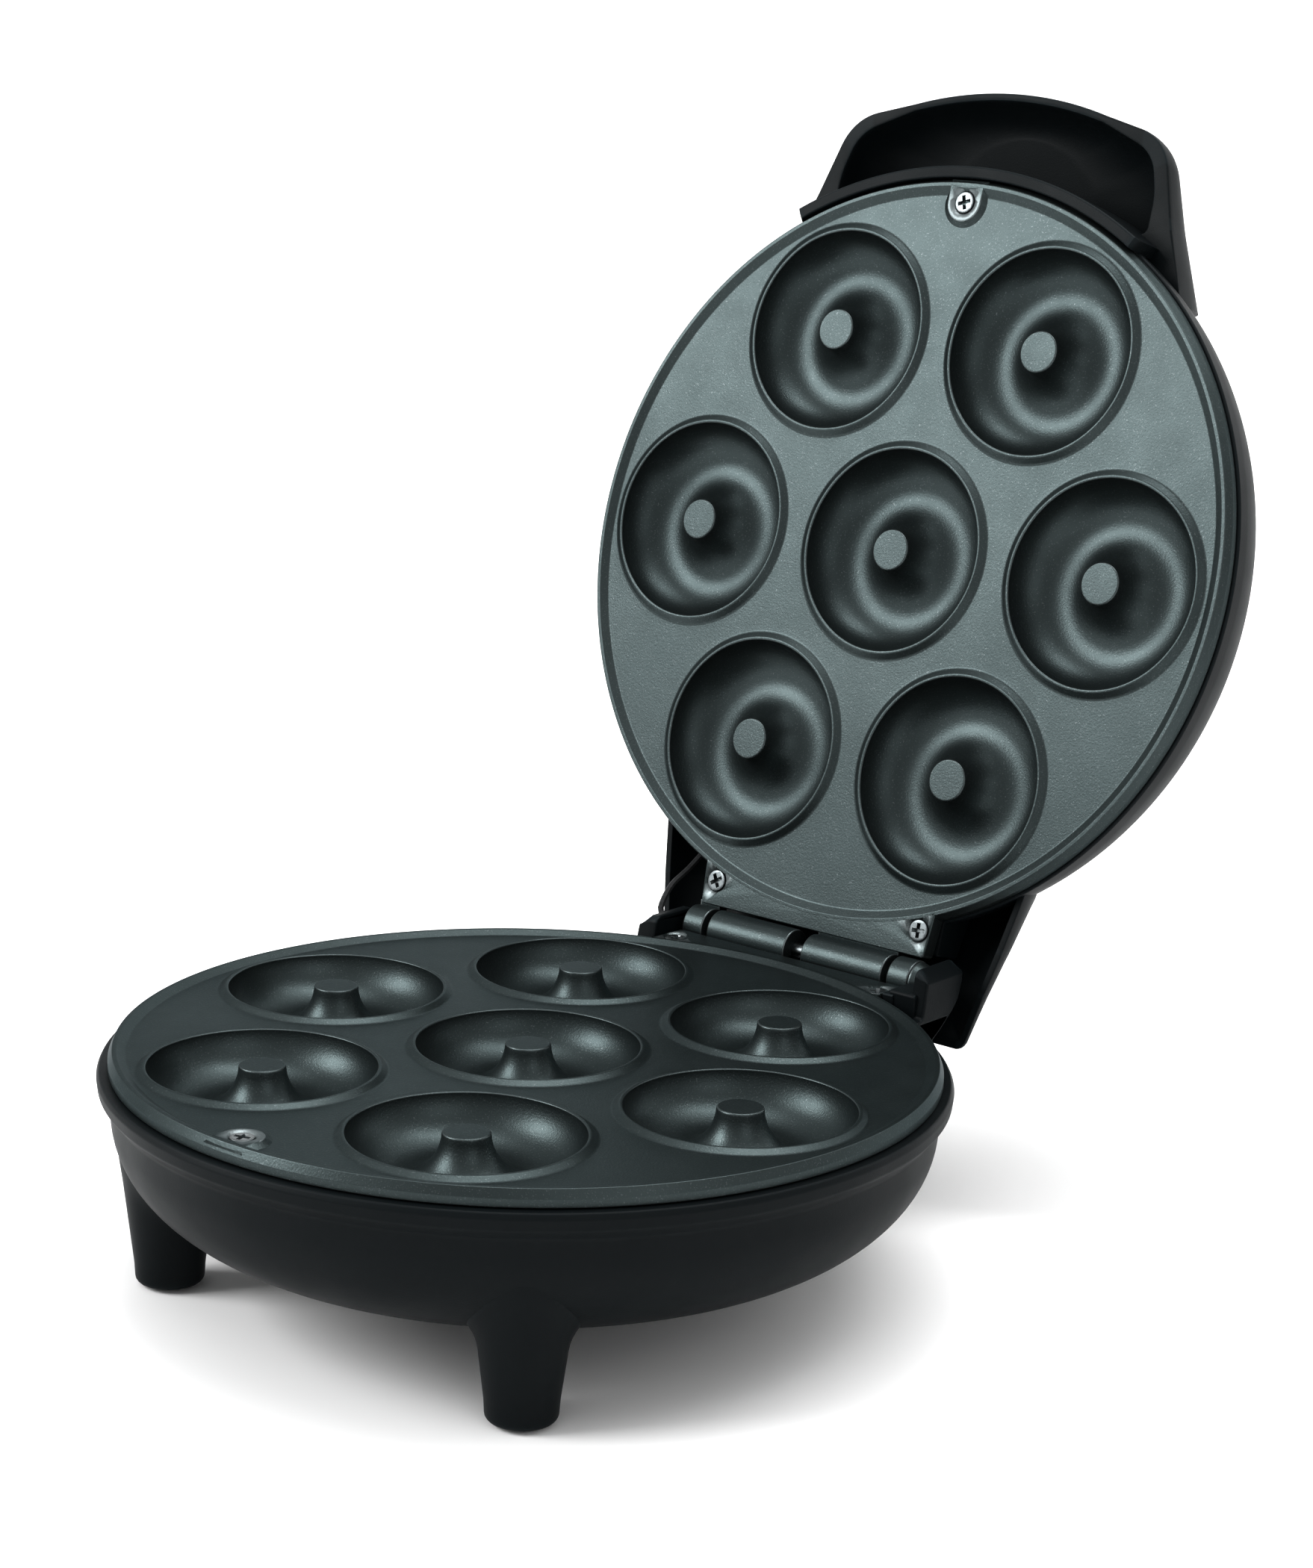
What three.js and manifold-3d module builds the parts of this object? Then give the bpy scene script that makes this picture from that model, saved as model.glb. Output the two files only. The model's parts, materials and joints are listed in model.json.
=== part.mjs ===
// Seven-ring donut maker with its lid open: two hinged aluminium cooking plates in round plastic casings.
// Millimetres, +Z up. The hinge is at the back (+Y) and the handle at the front (-Y).
// Heights are first counted from the lower plate's parting plane, then the whole model is set on its feet.
import * as THREE from 'three';
import { mergeVertices } from 'three/addons/utils/BufferGeometryUtils.js';
import Module from 'manifold-3d';

const wasm = await Module();
wasm.setup();

// Driving dimensions
const gap = 0.3;                  // clearance left between neighbouring pieces
const mouldPitch = 70;            // distance from the middle mould to each of the six round it
const mouldCount = 6;             // moulds round the middle one
const donutOuterRadius = 29.05;
const donutInnerRadius = 5.95;
const plateRadius = 106;          // crest of the plate's rim
const plateThickness = 4.5;
const plateRecess = 1.3;          // the flat between the moulds lies this far below the parting plane
const closedGap = 0.8;            // between the two parting planes when the lid is shut
const hingeY = 116.7;
const hingeZ = closedGap / 2;
const openAngle = THREE.MathUtils.degToRad(105.9);
const floorZ = -63.5;
const wall = 2.5;                 // plastic wall thickness
const collarRadius = 110;
const bowlDepth = 46.5;
const domeHeight = 48;
const roundSegments = 40;
const modelCentreY = 52.125;       // middle of the open model's depth

// Derived dimensions
const flangeRadius = plateRadius + 1.1;
const tubeRadius = (donutOuterRadius - donutInnerRadius) / 2;
const tubeCentre = (donutOuterRadius + donutInnerRadius) / 2;
const mouldBackZ = -tubeRadius - 3;
const seatZ = -plateThickness - gap;
const tabHalfWidth = 40.5;
const tabRearY = hingeY - 8.2;
const frontScrew = [0, -plateRadius + 5.6];
const rearScrews = [[-36, plateRadius - 2.9], [36, plateRadius - 2.9]];
const screwSpots = [['front', frontScrew], ['left', rearScrews[0]], ['right', rearScrews[1]]];

// Materials
function finish(color, roughness, metalness) {
  return new THREE.MeshStandardMaterial({ color, roughness, metalness });
}
const blackPlastic = finish(0x171c1e, 0.45, 0);
const nonStick = finish(0x4f575b, 0.42, 0.6);
const steel = finish(0xb9bcc0, 0.3, 1);
const heaterSheath = finish(0x6f7375, 0.5, 0.9);
const panSheet = finish(0xc4c7ca, 0.35, 1);
const blackRubber = finish(0x101112, 0.9, 0);
const ceramicWhite = finish(0xe4e0d6, 0.6, 0);
const leadSleeve = finish(0xd9d4c7, 0.8, 0);
const redLens = finish(0xb3201a, 0.2, 0);
const greenLens = finish(0x2c9a3f, 0.2, 0);
const lampGlass = finish(0xd8dfe0, 0.1, 0);

// Solid helpers
function toSolid(geometry) {
  const bare = geometry.clone();
  bare.deleteAttribute('normal');
  bare.deleteAttribute('uv');
  const merged = mergeVertices(bare, 1e-4);
  const positions = merged.attributes.position.array;
  const index = merged.index.array;
  const triangles = [];
  let volume = 0;
  const corner = [new THREE.Vector3(), new THREE.Vector3(), new THREE.Vector3()];
  for (let i = 0; i < index.length; i += 3) {
    const [a, b, c] = [index[i], index[i + 1], index[i + 2]];
    if (a === b || b === c || c === a) continue;
    triangles.push(a, b, c);
    [a, b, c].forEach((vertex, k) => corner[k].fromArray(positions, vertex * 3));
    volume += corner[0].dot(corner[1].clone().cross(corner[2]));
  }
  if (volume < 0) triangles.reverse();
  return new wasm.Manifold(new wasm.Mesh({
    numProp: 3,
    vertProperties: new Float32Array(positions),
    triVerts: new Uint32Array(triangles),
  }));
}

function toMesh(name, solid, material) {
  const { vertProperties, triVerts, numProp } = solid.getMesh();
  const geometry = new THREE.BufferGeometry();
  const count = vertProperties.length / numProp;
  const positions = new Float32Array(count * 3);
  for (let i = 0; i < count; i += 1) {
    for (let k = 0; k < 3; k += 1) positions[i * 3 + k] = vertProperties[i * numProp + k];
  }
  geometry.setAttribute('position', new THREE.BufferAttribute(positions, 3));
  geometry.setIndex(new THREE.BufferAttribute(new Uint32Array(triVerts), 1));
  geometry.computeVertexNormals();
  const mesh = new THREE.Mesh(geometry, material);
  mesh.name = name;
  return mesh;
}

// A turned solid about the Z axis. The profile holds [radius, z] pairs.
function turned(profile, segments = roundSegments) {
  const points = profile.map(([radius, z]) => new THREE.Vector2(radius, z));
  return toSolid(new THREE.LatheGeometry(points, segments).rotateX(Math.PI / 2));
}

function cylinder(radius, low, high, segments = 16, topRadius = radius) {
  return turned([[0, low], [radius, low], [topRadius, high], [0, high]], segments);
}

// A round bar along X.
function barX(radius, low, high, segments = 16, endRadius = radius) {
  return cylinder(radius, low, high, segments, endRadius).rotate([0, 90, 0]);
}

function box(low, high) {
  const size = high.map((value, k) => value - low[k]);
  const geometry = new THREE.BoxGeometry(...size);
  geometry.translate(...low.map((value, k) => value + size[k] / 2));
  return toSolid(geometry);
}

// A flat outline in X and Y, raised from one height to another.
function raised(outline, low, high) {
  const shape = new THREE.Shape(outline.map(([x, y]) => new THREE.Vector2(x, y)));
  const geometry = new THREE.ExtrudeGeometry(shape, { depth: high - low, bevelEnabled: false });
  return toSolid(geometry.translate(0, 0, low));
}

// A stack of outlines with equal numbers of points [x, y, z], joined by straight sides and closed at its ends.
function lofted(sections) {
  const count = sections[0].length;
  const positions = sections.flat(2);
  const flatCap = sections[0].map(([x, y]) => new THREE.Vector2(x, y));
  const faces = THREE.ShapeUtils.triangulateShape(flatCap, []);
  const index = [];
  const last = (sections.length - 1) * count;
  for (const [a, b, c] of faces) index.push(c, b, a, last + a, last + b, last + c);
  for (let s = 0; s < sections.length - 1; s += 1) {
    for (let i = 0; i < count; i += 1) {
      const j = (i + 1) % count;
      const [low, high] = [s * count, (s + 1) * count];
      index.push(low + i, low + j, high + j, low + i, high + j, high + i);
    }
  }
  const geometry = new THREE.BufferGeometry();
  geometry.setAttribute('position', new THREE.BufferAttribute(new Float32Array(positions), 3));
  geometry.setIndex(index);
  return toSolid(geometry);
}

// A round tube along a smooth curve through the given points.
function tube(route, radius, steps, sides = 6) {
  const curve = new THREE.CatmullRomCurve3(route.map((point) => new THREE.Vector3(...point)));
  const section = new THREE.Shape();
  for (let i = 0; i < sides; i += 1) {
    const angle = (i / sides) * 2 * Math.PI;
    const [x, y] = [radius * Math.cos(angle), radius * Math.sin(angle)];
    if (i === 0) section.moveTo(x, y);
    else section.lineTo(x, y);
  }
  return toSolid(new THREE.ExtrudeGeometry(section, { steps, extrudePath: curve, bevelEnabled: false }));
}

// Points [radius, z] on a quarter ellipse, from its widest point to its top or bottom.
function quarterEllipse(centreRadius, centreZ, reach, rise, steps) {
  return Array.from({ length: steps + 1 }, (_, i) => {
    const angle = (i / steps) * (Math.PI / 2);
    return [centreRadius + reach * Math.cos(angle), centreZ + rise * Math.sin(angle)];
  });
}

function mouldSpots() {
  const ring = Array.from({ length: mouldCount }, (_, i) => {
    const angle = (i / mouldCount) * 2 * Math.PI;
    return [mouldPitch * Math.cos(angle), mouldPitch * Math.sin(angle)];
  });
  return [[0, 0], ...ring];
}

// Cooking plates: both are the same casting, and the upper one is turned over.
const knuckleRadius = 5;
const pinRadius = 2;
const longKnuckle = [-31, -3];
const shortKnuckle = [33, 40];
const bossEndX = 47;

function mouldUnit() {
  const arcSteps = 6;
  const ring = Array.from({ length: arcSteps + 1 }, (_, i) => {
    const angle = (i / arcSteps) * Math.PI;
    return [tubeCentre + tubeRadius * Math.cos(angle), -tubeRadius * Math.sin(angle)];
  });
  const rimWidth = 0.6;
  const profile = [
    [0, mouldBackZ], [25, mouldBackZ], [31.5, -plateThickness],
    [donutOuterRadius + 3.4, -plateRecess], [donutOuterRadius + rimWidth, 0], ...ring, [0, 0],
  ];
  return turned(profile, 16);
}

function countersink([x, y]) {
  const hole = cylinder(1.9 + gap, -30, 1, 10);
  const cone = cylinder(1.9 + gap, -2 - gap, 0.5, 10, 3.9);
  return hole.add(cone).translate([x, y, 0]);
}

function plateDisc() {
  const innerCrest = plateRadius - 1.1;
  const profile = [
    [0, -plateThickness], [flangeRadius, -plateThickness], [flangeRadius, -2.3], [plateRadius, 0],
    [innerCrest, 0], [innerCrest - 2.3, -plateRecess], [0, -plateRecess],
  ];
  let disc = turned(profile);
  const opening = cylinder(30.5, -plateThickness - 1, 1, 16);
  for (const [x, y] of mouldSpots()) disc = disc.subtract(opening.translate([x, y, 0]));
  return disc;
}

// Only the lower plate's short knuckle carries the tapered boss that closes over the pin's end.
function hingeKnuckles(withBoss) {
  const barrel = (low, high) => barX(knuckleRadius, low, high).translate([0, hingeY, hingeZ]);
  const arm = (low, high) => box([low, tabRearY - 1, -plateThickness], [high, hingeY, -0.6]);
  const bossEnd = withBoss ? bossEndX : shortKnuckle[1] + 0.5;
  const boss = barX(knuckleRadius, shortKnuckle[1] - 1, bossEnd, 16, 3.2).translate([0, hingeY, hingeZ]);
  const bore = barX(pinRadius + 0.4, longKnuckle[0] - 1, bossEndX - 2, 12).translate([0, hingeY, hingeZ]);
  return [longKnuckle, shortKnuckle]
    .map(([low, high]) => barrel(low, high).add(arm(low, high)))
    .reduce((sum, piece) => sum.add(piece), boss)
    .subtract(bore);
}

function cookingPlate(name, withBoss) {
  let plate = plateDisc();
  const unit = mouldUnit();
  for (const [x, y] of mouldSpots()) plate = plate.add(unit.translate([x, y, 0]));
  const frontTab = cylinder(7.2, -plateThickness, 0, 16, 5.6).translate([...frontScrew, 0]);
  const rim = turned([[0, -plateThickness], [plateRadius, -plateThickness], [plateRadius, 0], [0, 0]]);
  const rearTab = raised([
    [-tabHalfWidth, 85], [tabHalfWidth, 85], [tabHalfWidth - 1.2, tabRearY], [-tabHalfWidth + 1.2, tabRearY],
  ], -plateThickness, 0).subtract(cylinder(plateRadius - 1, -10, 10, roundSegments));
  plate = plate.add(frontTab.intersect(rim)).add(rearTab).add(hingeKnuckles(withBoss));
  for (const spot of [frontScrew, ...rearScrews]) plate = plate.subtract(countersink(spot));
  return toMesh(name, plate, nonStick);
}

// Countersunk cross-recess screw with its head flush in the plate.
function plateScrew(name, [x, y]) {
  let screw = turned([[0, -13], [1.6, -13], [1.6, -2.2], [3.05, -0.35], [3.05, -0.15], [0, -0.15]], 12);
  const slot = box([-1.9, -0.4, -1.6], [1.9, 0.4, 1]);
  screw = screw.subtract(slot).subtract(slot.rotate([0, 0, 90]));
  return toMesh(name, screw.translate([x, y, 0]), steel);
}

// Base casing: a bowl with a collar, four legs and the hinge block.
const legSpots = [[-61.2, -68], [61.2, -68], [-42, 86], [42, 86]];
const legFootRadius = 8;
const legTopRadius = 13.5;
const legTopZ = -27;
const footZ = floorZ + 0.6;
const earOuterLeft = -50;
const earOuterRight = 52.5;
const earChamfer = 3.5;
const earInnerLeft = -43.2;
const earInnerRight = 47.8;
const earTopZ = 8.2;
const glandX = -24;
const glandZ = -27;

function bowlOuter() {
  const bowl = quarterEllipse(66.5, -16, 40, -(bowlDepth - 16), 6);
  return turned([
    [0, -bowlDepth], ...bowl.reverse(), [collarRadius - 2.8, -11.5], [collarRadius - 0.3, -9],
    [collarRadius, -6.5], [collarRadius - 0.8, seatZ], [0, seatZ],
  ]);
}

function bowlInner() {
  const bowl = quarterEllipse(66.5, -16, 40 - wall, -(bowlDepth - 16 - wall), 4);
  return turned([[0, -bowlDepth + wall], ...bowl.reverse(), [104, seatZ + 5], [104, 1], [0, 1]]);
}

function leg([x, y]) {
  const foot = [[0, footZ], [legFootRadius - 2, footZ], [legFootRadius, footZ + 2], [legTopRadius, legTopZ]];
  return turned([...foot, [0, legTopZ]], 16).translate([x, y, 0]);
}

function padRecess([x, y]) {
  return cylinder(5.8, footZ - 1, footZ + 1.1, 16).translate([x, y, 0]);
}

// The block's side outline [y, z], extruded along X. Its rear underside is cut away for the lid's skirt.
function hingeBlock() {
  const outline = [
    [96, -18], [104, -14], [110.5, -9.7], [116.1, -5.3], [118.6, -2.4], [120.2, 2.8], [120.2, earTopZ - 1],
    [119.2, earTopZ], [105, earTopZ], [102.5, earTopZ - 2], [101.7, seatZ], [92, seatZ], [92, -18],
  ];
  const block = raised(outline, earOuterLeft, earOuterRight).rotate([90, 0, 90]);
  const channel = box([earInnerLeft, 80, seatZ], [earInnerRight, 130, earTopZ + 1]);
  const corner = (x, side) => raised([
    [x - side * earChamfer, earTopZ], [x, earTopZ - earChamfer], [x + side, earTopZ + 1],
  ], 80, 130).rotate([90, 0, 0]).scale([1, -1, 1]);
  return block.subtract(channel).subtract(corner(earOuterLeft, -1)).subtract(corner(earOuterRight, 1));
}

function baseCasing() {
  let casing = bowlOuter().add(hingeBlock());
  for (const spot of legSpots) casing = casing.add(leg(spot));
  casing = casing.subtract(bowlInner());
  for (const [x, y] of [frontScrew, ...rearScrews]) {
    const boss = cylinder(4.2, -24, seatZ, 12).translate([x, y, 0]).intersect(bowlOuter().add(hingeBlock()));
    casing = casing.add(boss).subtract(cylinder(1.6 + gap, -15, 1, 10).translate([x, y, 0]));
  }
  for (const spot of legSpots) casing = casing.subtract(padRecess(spot));
  const leadBore = tube([...lidLeadRoute(), [leadMeetX - 3, hingeY, hingeZ]], leadRadius + 0.6, 30);
  const glandHole = cylinder(6, 80, 130, 12).rotate([-90, 0, 0]).translate([glandX, 0, glandZ]);
  return toMesh('base_casing', casing.subtract(glandHole).subtract(leadBore), blackPlastic);
}

function footPad(name, [x, y]) {
  return toMesh(name, cylinder(5.5, floorZ, footZ + 0.8, 16).translate([x, y, 0]), blackRubber);
}

function cordGland() {
  const flangeY = 104.4;
  const gland = turned([
    [3.4, 88], [5.6, 88], [5.6, flangeY], [8, flangeY], [7.4, flangeY + 3], [3.4, flangeY + 3], [3.4, 88],
  ], 16);
  return toMesh('cord_gland', gland.rotate([-90, 0, 0]).translate([glandX, 0, glandZ]), blackRubber);
}

// Heating parts, drawn behind a plate that faces up. The lid's are the same pieces turned over.
const heaterRadius = 62;
const heaterTube = 3.4;
const heaterZ = mouldBackZ - gap - heaterTube;
const clipAngles = [90, 210, 330].map(THREE.MathUtils.degToRad);

function tubularHeater(name) {
  const start = THREE.MathUtils.degToRad(108);
  const sweep = THREE.MathUtils.degToRad(324);
  const ringSteps = 18;
  const ring = Array.from({ length: ringSteps + 1 }, (_, i) => {
    const angle = start + (i / ringSteps) * sweep;
    return [heaterRadius * Math.cos(angle), heaterRadius * Math.sin(angle), heaterZ];
  });
  const [first, last] = [ring[0], ring[ringSteps]];
  const tail = ([x, y, z], side) => [[x * 0.9, y * 1.2, z - 2], [x * 0.86, y * 1.34, z - 7]].slice(0, side);
  const route = [...tail(first, 2).reverse(), ...ring, ...tail(last, 2)];
  return toMesh(name, tube(route, heaterTube, 38, 6), heaterSheath);
}

// A saddle strip over the heater tube, with a foot inside the ring for its screw.
function heaterClip(name, angle) {
  const reach = heaterTube + gap;
  const top = heaterZ - reach - 1.4;
  const outline = [
    [-reach - 9, mouldBackZ - gap], [-reach - 9, mouldBackZ - gap - 1.4], [-reach - 1.4, mouldBackZ - gap - 1.4],
    [-reach - 1.4, top], [reach + 1.4, top], [reach + 1.4, mouldBackZ - gap], [reach, mouldBackZ - gap],
    [reach, top + 1.4], [-reach, top + 1.4], [-reach, mouldBackZ - gap],
  ];
  const strip = raised(outline, -4, 4).rotate([90, 0, 0]);
  const hole = cylinder(1.5 + gap, top - 1, 0, 10).translate([-reach - 5.2, 0, 0]);
  const placed = strip.subtract(hole).translate([heaterRadius, 0, 0]);
  return toMesh(name, placed.rotate([0, 0, THREE.MathUtils.radToDeg(angle)]), panSheet);
}

function clipScrew(name, angle) {
  const headZ = mouldBackZ - gap - 1.4 - gap;
  const screw = turned([[0, headZ - 2], [2.6, headZ - 2], [2.9, headZ], [1.5, headZ], [1.5, headZ + 1.8],
    [0, headZ + 1.8]], 12);
  const radius = heaterRadius - heaterTube - gap - 5.2;
  return toMesh(name, screw.translate([radius * Math.cos(angle), radius * Math.sin(angle), 0]), steel);
}

// A shallow sheet pan behind the heater that throws its heat back at the plate.
function reflectorPan(name) {
  const z = heaterZ - heaterTube - 3.4;
  const pan = turned([
    [14, z], [70, z], [76, z + 3], [80, z + 3], [80, z + 3.8], [75.6, z + 3.8], [69.7, z + 0.8],
    [14, z + 0.8], [14, z],
  ], 28);
  const tailNotch = box([-24, 54, z - 1], [24, 90, z + 6]);
  return toMesh(name, pan.subtract(tailNotch), panSheet);
}

const padSpot = (angle) => [40.4 * Math.cos(angle), 40.4 * Math.sin(angle)];

function thermostat() {
  const top = -plateThickness - gap;
  const body = turned([[0, top - 9], [5.5, top - 9], [5.5, top - 3], [7.4, top - 3], [7.4, top], [0, top]], 16);
  const blade = box([-0.4, -1.6, top - 15], [0.4, 1.6, top - 8.5]);
  const solid = body.add(blade.translate([-3, 0, 0])).add(blade.translate([3, 0, 0]));
  return toMesh('thermostat', solid.translate([...padSpot(Math.PI / 6), 0]), ceramicWhite);
}

function thermalFuse() {
  const z = -plateThickness - gap - 2.6;
  const profile = [[0, -7], [0.8, -7], [0.8, -5.4], [2.4, -4.8], [2.4, 5.4], [0, 5.4]];
  const fuse = turned(profile, 12).rotate([90, 0, 0]).translate([...padSpot(5 * Math.PI / 6), z]);
  return toMesh('thermal_fuse', fuse, panSheet);
}

// Wiring in the base
const blockSpot = [-24, 50, -bowlDepth + wall + gap];

function terminalBlock() {
  const [x, y, z] = blockSpot;
  let body = box([x - 13, y - 5, z], [x + 13, y + 5, z + 9]);
  for (const dx of [-8, 0, 8]) {
    body = body.subtract(cylinder(2.2, z + 5, z + 10, 10).translate([x + dx, y, 0]));
  }
  return toMesh('terminal_block', body, ceramicWhite);
}

function mainsLead(name, side) {
  const [x, y, z] = blockSpot;
  const exit = [glandX + side * 1.5, 87.5, glandZ];
  const route = [exit, [x + side * 4, 78, glandZ - 4], [x + side * 8, 66, z + 6], [x + side * 8, y + 6.6, z + 4]];
  return toMesh(name, tube(route, 1.1, 8), leadSleeve);
}

function heaterLead(name, side) {
  const [x, y, z] = blockSpot;
  const tail = [side * 16.2, 80.4, heaterZ - 12.2];
  const start = [x + 14.4, y + side * 2.6, z + 4];
  const route = [start, [x + 20 + side * 3, y + side * 2.6, z + 6], [side * 12, y + 16, z + 8], tail];
  return toMesh(name, tube(route, 1.1, 10), leadSleeve);
}

// The lid's supply runs up inside the left ear and crosses the hinge along its axis, where turning only
// twists it. It is in two halves that meet end to end on that axis.
const leadRadius = 0.9;
const leadMeetX = -48.8;
const leadBend = 3;
const leadRiseX = -45.2;

// Points on a quarter circle between two unit directions [x, y, z] about a centre.
function bendPoints(centre, from, to, radius) {
  return [0, 30, 60, 90].map((degrees) => {
    const angle = THREE.MathUtils.degToRad(degrees);
    return centre.map((value, k) => value + radius * (from[k] * Math.cos(angle) + to[k] * Math.sin(angle)));
  });
}

function lidLeadRoute() {
  const [x, y, z] = blockSpot;
  const bendCentre = [leadRiseX - leadBend, hingeY - leadBend, hingeZ];
  return [
    [x - 13 - gap - leadRadius, y, z + 5], [leadRiseX, 66, z + 10], [leadRiseX, 84, -22],
    [leadRiseX, 101, -9], [leadRiseX, 108, -2], ...bendPoints(bendCentre, [1, 0, 0], [0, 1, 0], leadBend),
    [leadMeetX, hingeY, hingeZ],
  ];
}

function lidLeadLower() {
  return toMesh('lid_lead_lower', tube(lidLeadRoute(), leadRadius, 28), leadSleeve);
}

// Lid casing in the lid's own frame: z is the height above the upper plate's parting plane, lid shut.
const domeCentreRadius = 64;
const domeReach = 44;
const domeCentreZ = 2;
const domeRise = domeHeight - domeCentreZ;
const domeRimZ = plateThickness + gap;
const skirtRimZ = 6.6;
const skirtRearY = 132;

function domeShell(offset, steps) {
  const shoulder = quarterEllipse(domeCentreRadius, domeCentreZ, domeReach + offset, domeRise + offset, steps);
  return [...shoulder.filter(([, z]) => z > domeRimZ + 1), [0, domeHeight + offset + 2]];
}

function domeOuter() {
  return turned([[0, domeRimZ], [domeCentreRadius + domeReach, domeRimZ], ...domeShell(0, 8)]);
}

function domeInner() {
  const low = domeRimZ - 1;
  return turned([[0, low], [103.5, low], [103.5, domeRimZ + 5], ...domeShell(-wall, 6).slice(2)]);
}

function domeClearance() {
  const reach = domeCentreRadius + domeReach + gap;
  return turned([[0, domeRimZ - gap], [reach, domeRimZ - gap], ...domeShell(gap, 8)]);
}

// Half the skirt's plan from the dome to its rear corner, drawn in by an inset.
function skirtPlan(inset) {
  const right = [
    [64.5 - inset, 80], [63.5 - inset, 87], [60.2 - inset, 104], [57.6 - inset, 117],
    [55.2 - inset, skirtRearY - 3], [52.6 - inset, skirtRearY - inset],
  ];
  const left = right.map(([x, y]) => [-x, y]).reverse();
  return [...right, ...left];
}

// The skirt arches over the hinge: its sides lean in and its top falls from the dome's shoulder to a low rear edge.
const skirtStartY = 88;

function skirtBody(inset, lowZ, drop) {
  const angles = [0, 15, 32, 50, 70, 90].map(THREE.MathUtils.degToRad);
  return lofted(angles.map((angle) => skirtPlan(inset).map(([x, y]) => {
    const lean = 1 - Math.cos(angle);
    const rearward = THREE.MathUtils.clamp((y - skirtStartY) / (skirtRearY - skirtStartY), 0, 1);
    const height = skirtRimZ + 24 - 15 * rearward - drop - lowZ;
    return [x * (1 - 0.45 * lean), y - 16 * rearward * lean, lowZ + height * Math.sin(angle)];
  })));
}

function screwLedge() {
  return box([-tabHalfWidth - 0.6, 96, domeRimZ], [tabHalfWidth + 0.6, tabRearY + 0.8, 20]);
}

const lampSpots = [['power', -12, redLens], ['ready', 12, greenLens]];
const lampY = 52;
const handleScrewX = 30;
const handleScrewZ = 20;

function domeTopZ(y) {
  return domeHeight + 2 * (1 - y / domeCentreRadius);
}

function handleScrewHole(radius) {
  const bar = cylinder(radius, 86, 112, 10).rotate([90, 0, 0]);
  return [-1, 1].map((side) => bar.translate([side * handleScrewX, 0, handleScrewZ]));
}

function lidCasing() {
  const dome = domeOuter();
  const hollow = skirtBody(2, skirtRimZ - 3, 2.2).subtract(dome);
  let casing = dome.add(skirtBody(0, skirtRimZ, 0)).subtract(domeInner()).subtract(hollow);
  casing = casing.add(screwLedge().subtract(cylinder(100, 0, 30, roundSegments)));
  const frontBoss = cylinder(4.2, domeRimZ, 22, 12).translate([...frontScrew, 0]).intersect(dome);
  casing = casing.add(frontBoss);
  for (const [x, y] of [frontScrew, ...rearScrews]) {
    casing = casing.subtract(cylinder(1.6 + gap, -1, 14.6, 10).translate([x, y, 0]));
  }
  for (const [, x] of lampSpots) casing = casing.subtract(cylinder(3.6, 30, 60, 12).translate([x, lampY, 0]));
  for (const hole of handleScrewHole(1.6 + gap)) casing = casing.subtract(hole);
  return toMesh('lid_casing', casing, blackPlastic);
}

// Handle: a hood with a flat rim, a finger pocket from below and a lip that stands in front of the plates.
const handleFrontY = -135.1;
const handleRimZ = 12;
const handleArcRadius = 106;
const lipRadius = 111;
const lipHalfAngle = 32;

// Half of the plan from the front's middle to the dome, in by an inset, closed by its mirror image.
function handlePlan(inset, sideX, backY) {
  const arcCentreY = handleFrontY + handleArcRadius;
  const radius = handleArcRadius - inset;
  const front = [0, 7, 14, 19.5].map((degrees) => {
    const angle = THREE.MathUtils.degToRad(degrees);
    return [radius * Math.sin(angle), arcCentreY - radius * Math.cos(angle)];
  });
  const side = [
    [43.2 - inset * 0.8, -126.3 + inset * 0.9], [49.2 - inset * 0.9, -122.4 + inset * 0.6],
    [53.4 - inset, -117 + inset * 0.2], [sideX[0] - inset, -101.5], [sideX[1] - inset, backY],
  ];
  const right = [...front, ...side];
  const left = right.slice(1).map(([x, y]) => [-x, y]).reverse();
  return [...right, ...left];
}

// The handle arches from side to side, and its top falls from the dome's shoulder to its front edge.
function handleTop(y) {
  return 37 + (y + 90) * 0.2;
}

// The arch over a plan, from the rim plane to a given depth under the handle's top.
function handleArch(plan, degrees, depth) {
  return lofted(degrees.map((value) => plan.map(([x, y]) => {
    const angle = THREE.MathUtils.degToRad(value);
    const lean = 1 - Math.cos(angle);
    const forward = THREE.MathUtils.clamp((-y - 90) / 30, 0, 1);
    const archY = y + 8 * forward * lean;
    return [x * (1 - 0.55 * lean), archY, handleRimZ + Math.sin(angle) * (handleTop(y) - depth - handleRimZ)];
  })));
}

function handleBody() {
  return handleArch(handlePlan(0, [60.5, 69], -80), [0, 12, 28, 45, 65, 90], 0);
}

function fingerPocket() {
  const plan = handlePlan(2.2, [55.4, 55.4], -96);
  return handleArch(plan, [-8, 15, 38, 62, 90], 2.6).subtract(cylinder(lipRadius, -1, 50, roundSegments));
}

function frontLip() {
  const ring = turned([
    [flangeRadius + 0.4, 0.3], [lipRadius, 0.3], [lipRadius, handleRimZ + 4],
    [flangeRadius + 0.4, handleRimZ + 4], [flangeRadius + 0.4, 0.3],
  ]);
  const spread = 140 * Math.tan(THREE.MathUtils.degToRad(lipHalfAngle));
  return ring.intersect(raised([[0, 0], [-spread, -140], [spread, -140]], -1, 30));
}

function handle() {
  const plateClearance = cylinder(flangeRadius + 0.4, -1, domeRimZ, roundSegments);
  let hood = handleBody().subtract(fingerPocket()).add(frontLip());
  hood = hood.subtract(domeClearance()).subtract(plateClearance);
  for (const hole of handleScrewHole(1.2)) {
    hood = hood.subtract(hole.subtract(box([-60, -140, 0], [60, -105.4, 40])));
  }
  return toMesh('handle', hood, blackPlastic);
}

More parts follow.
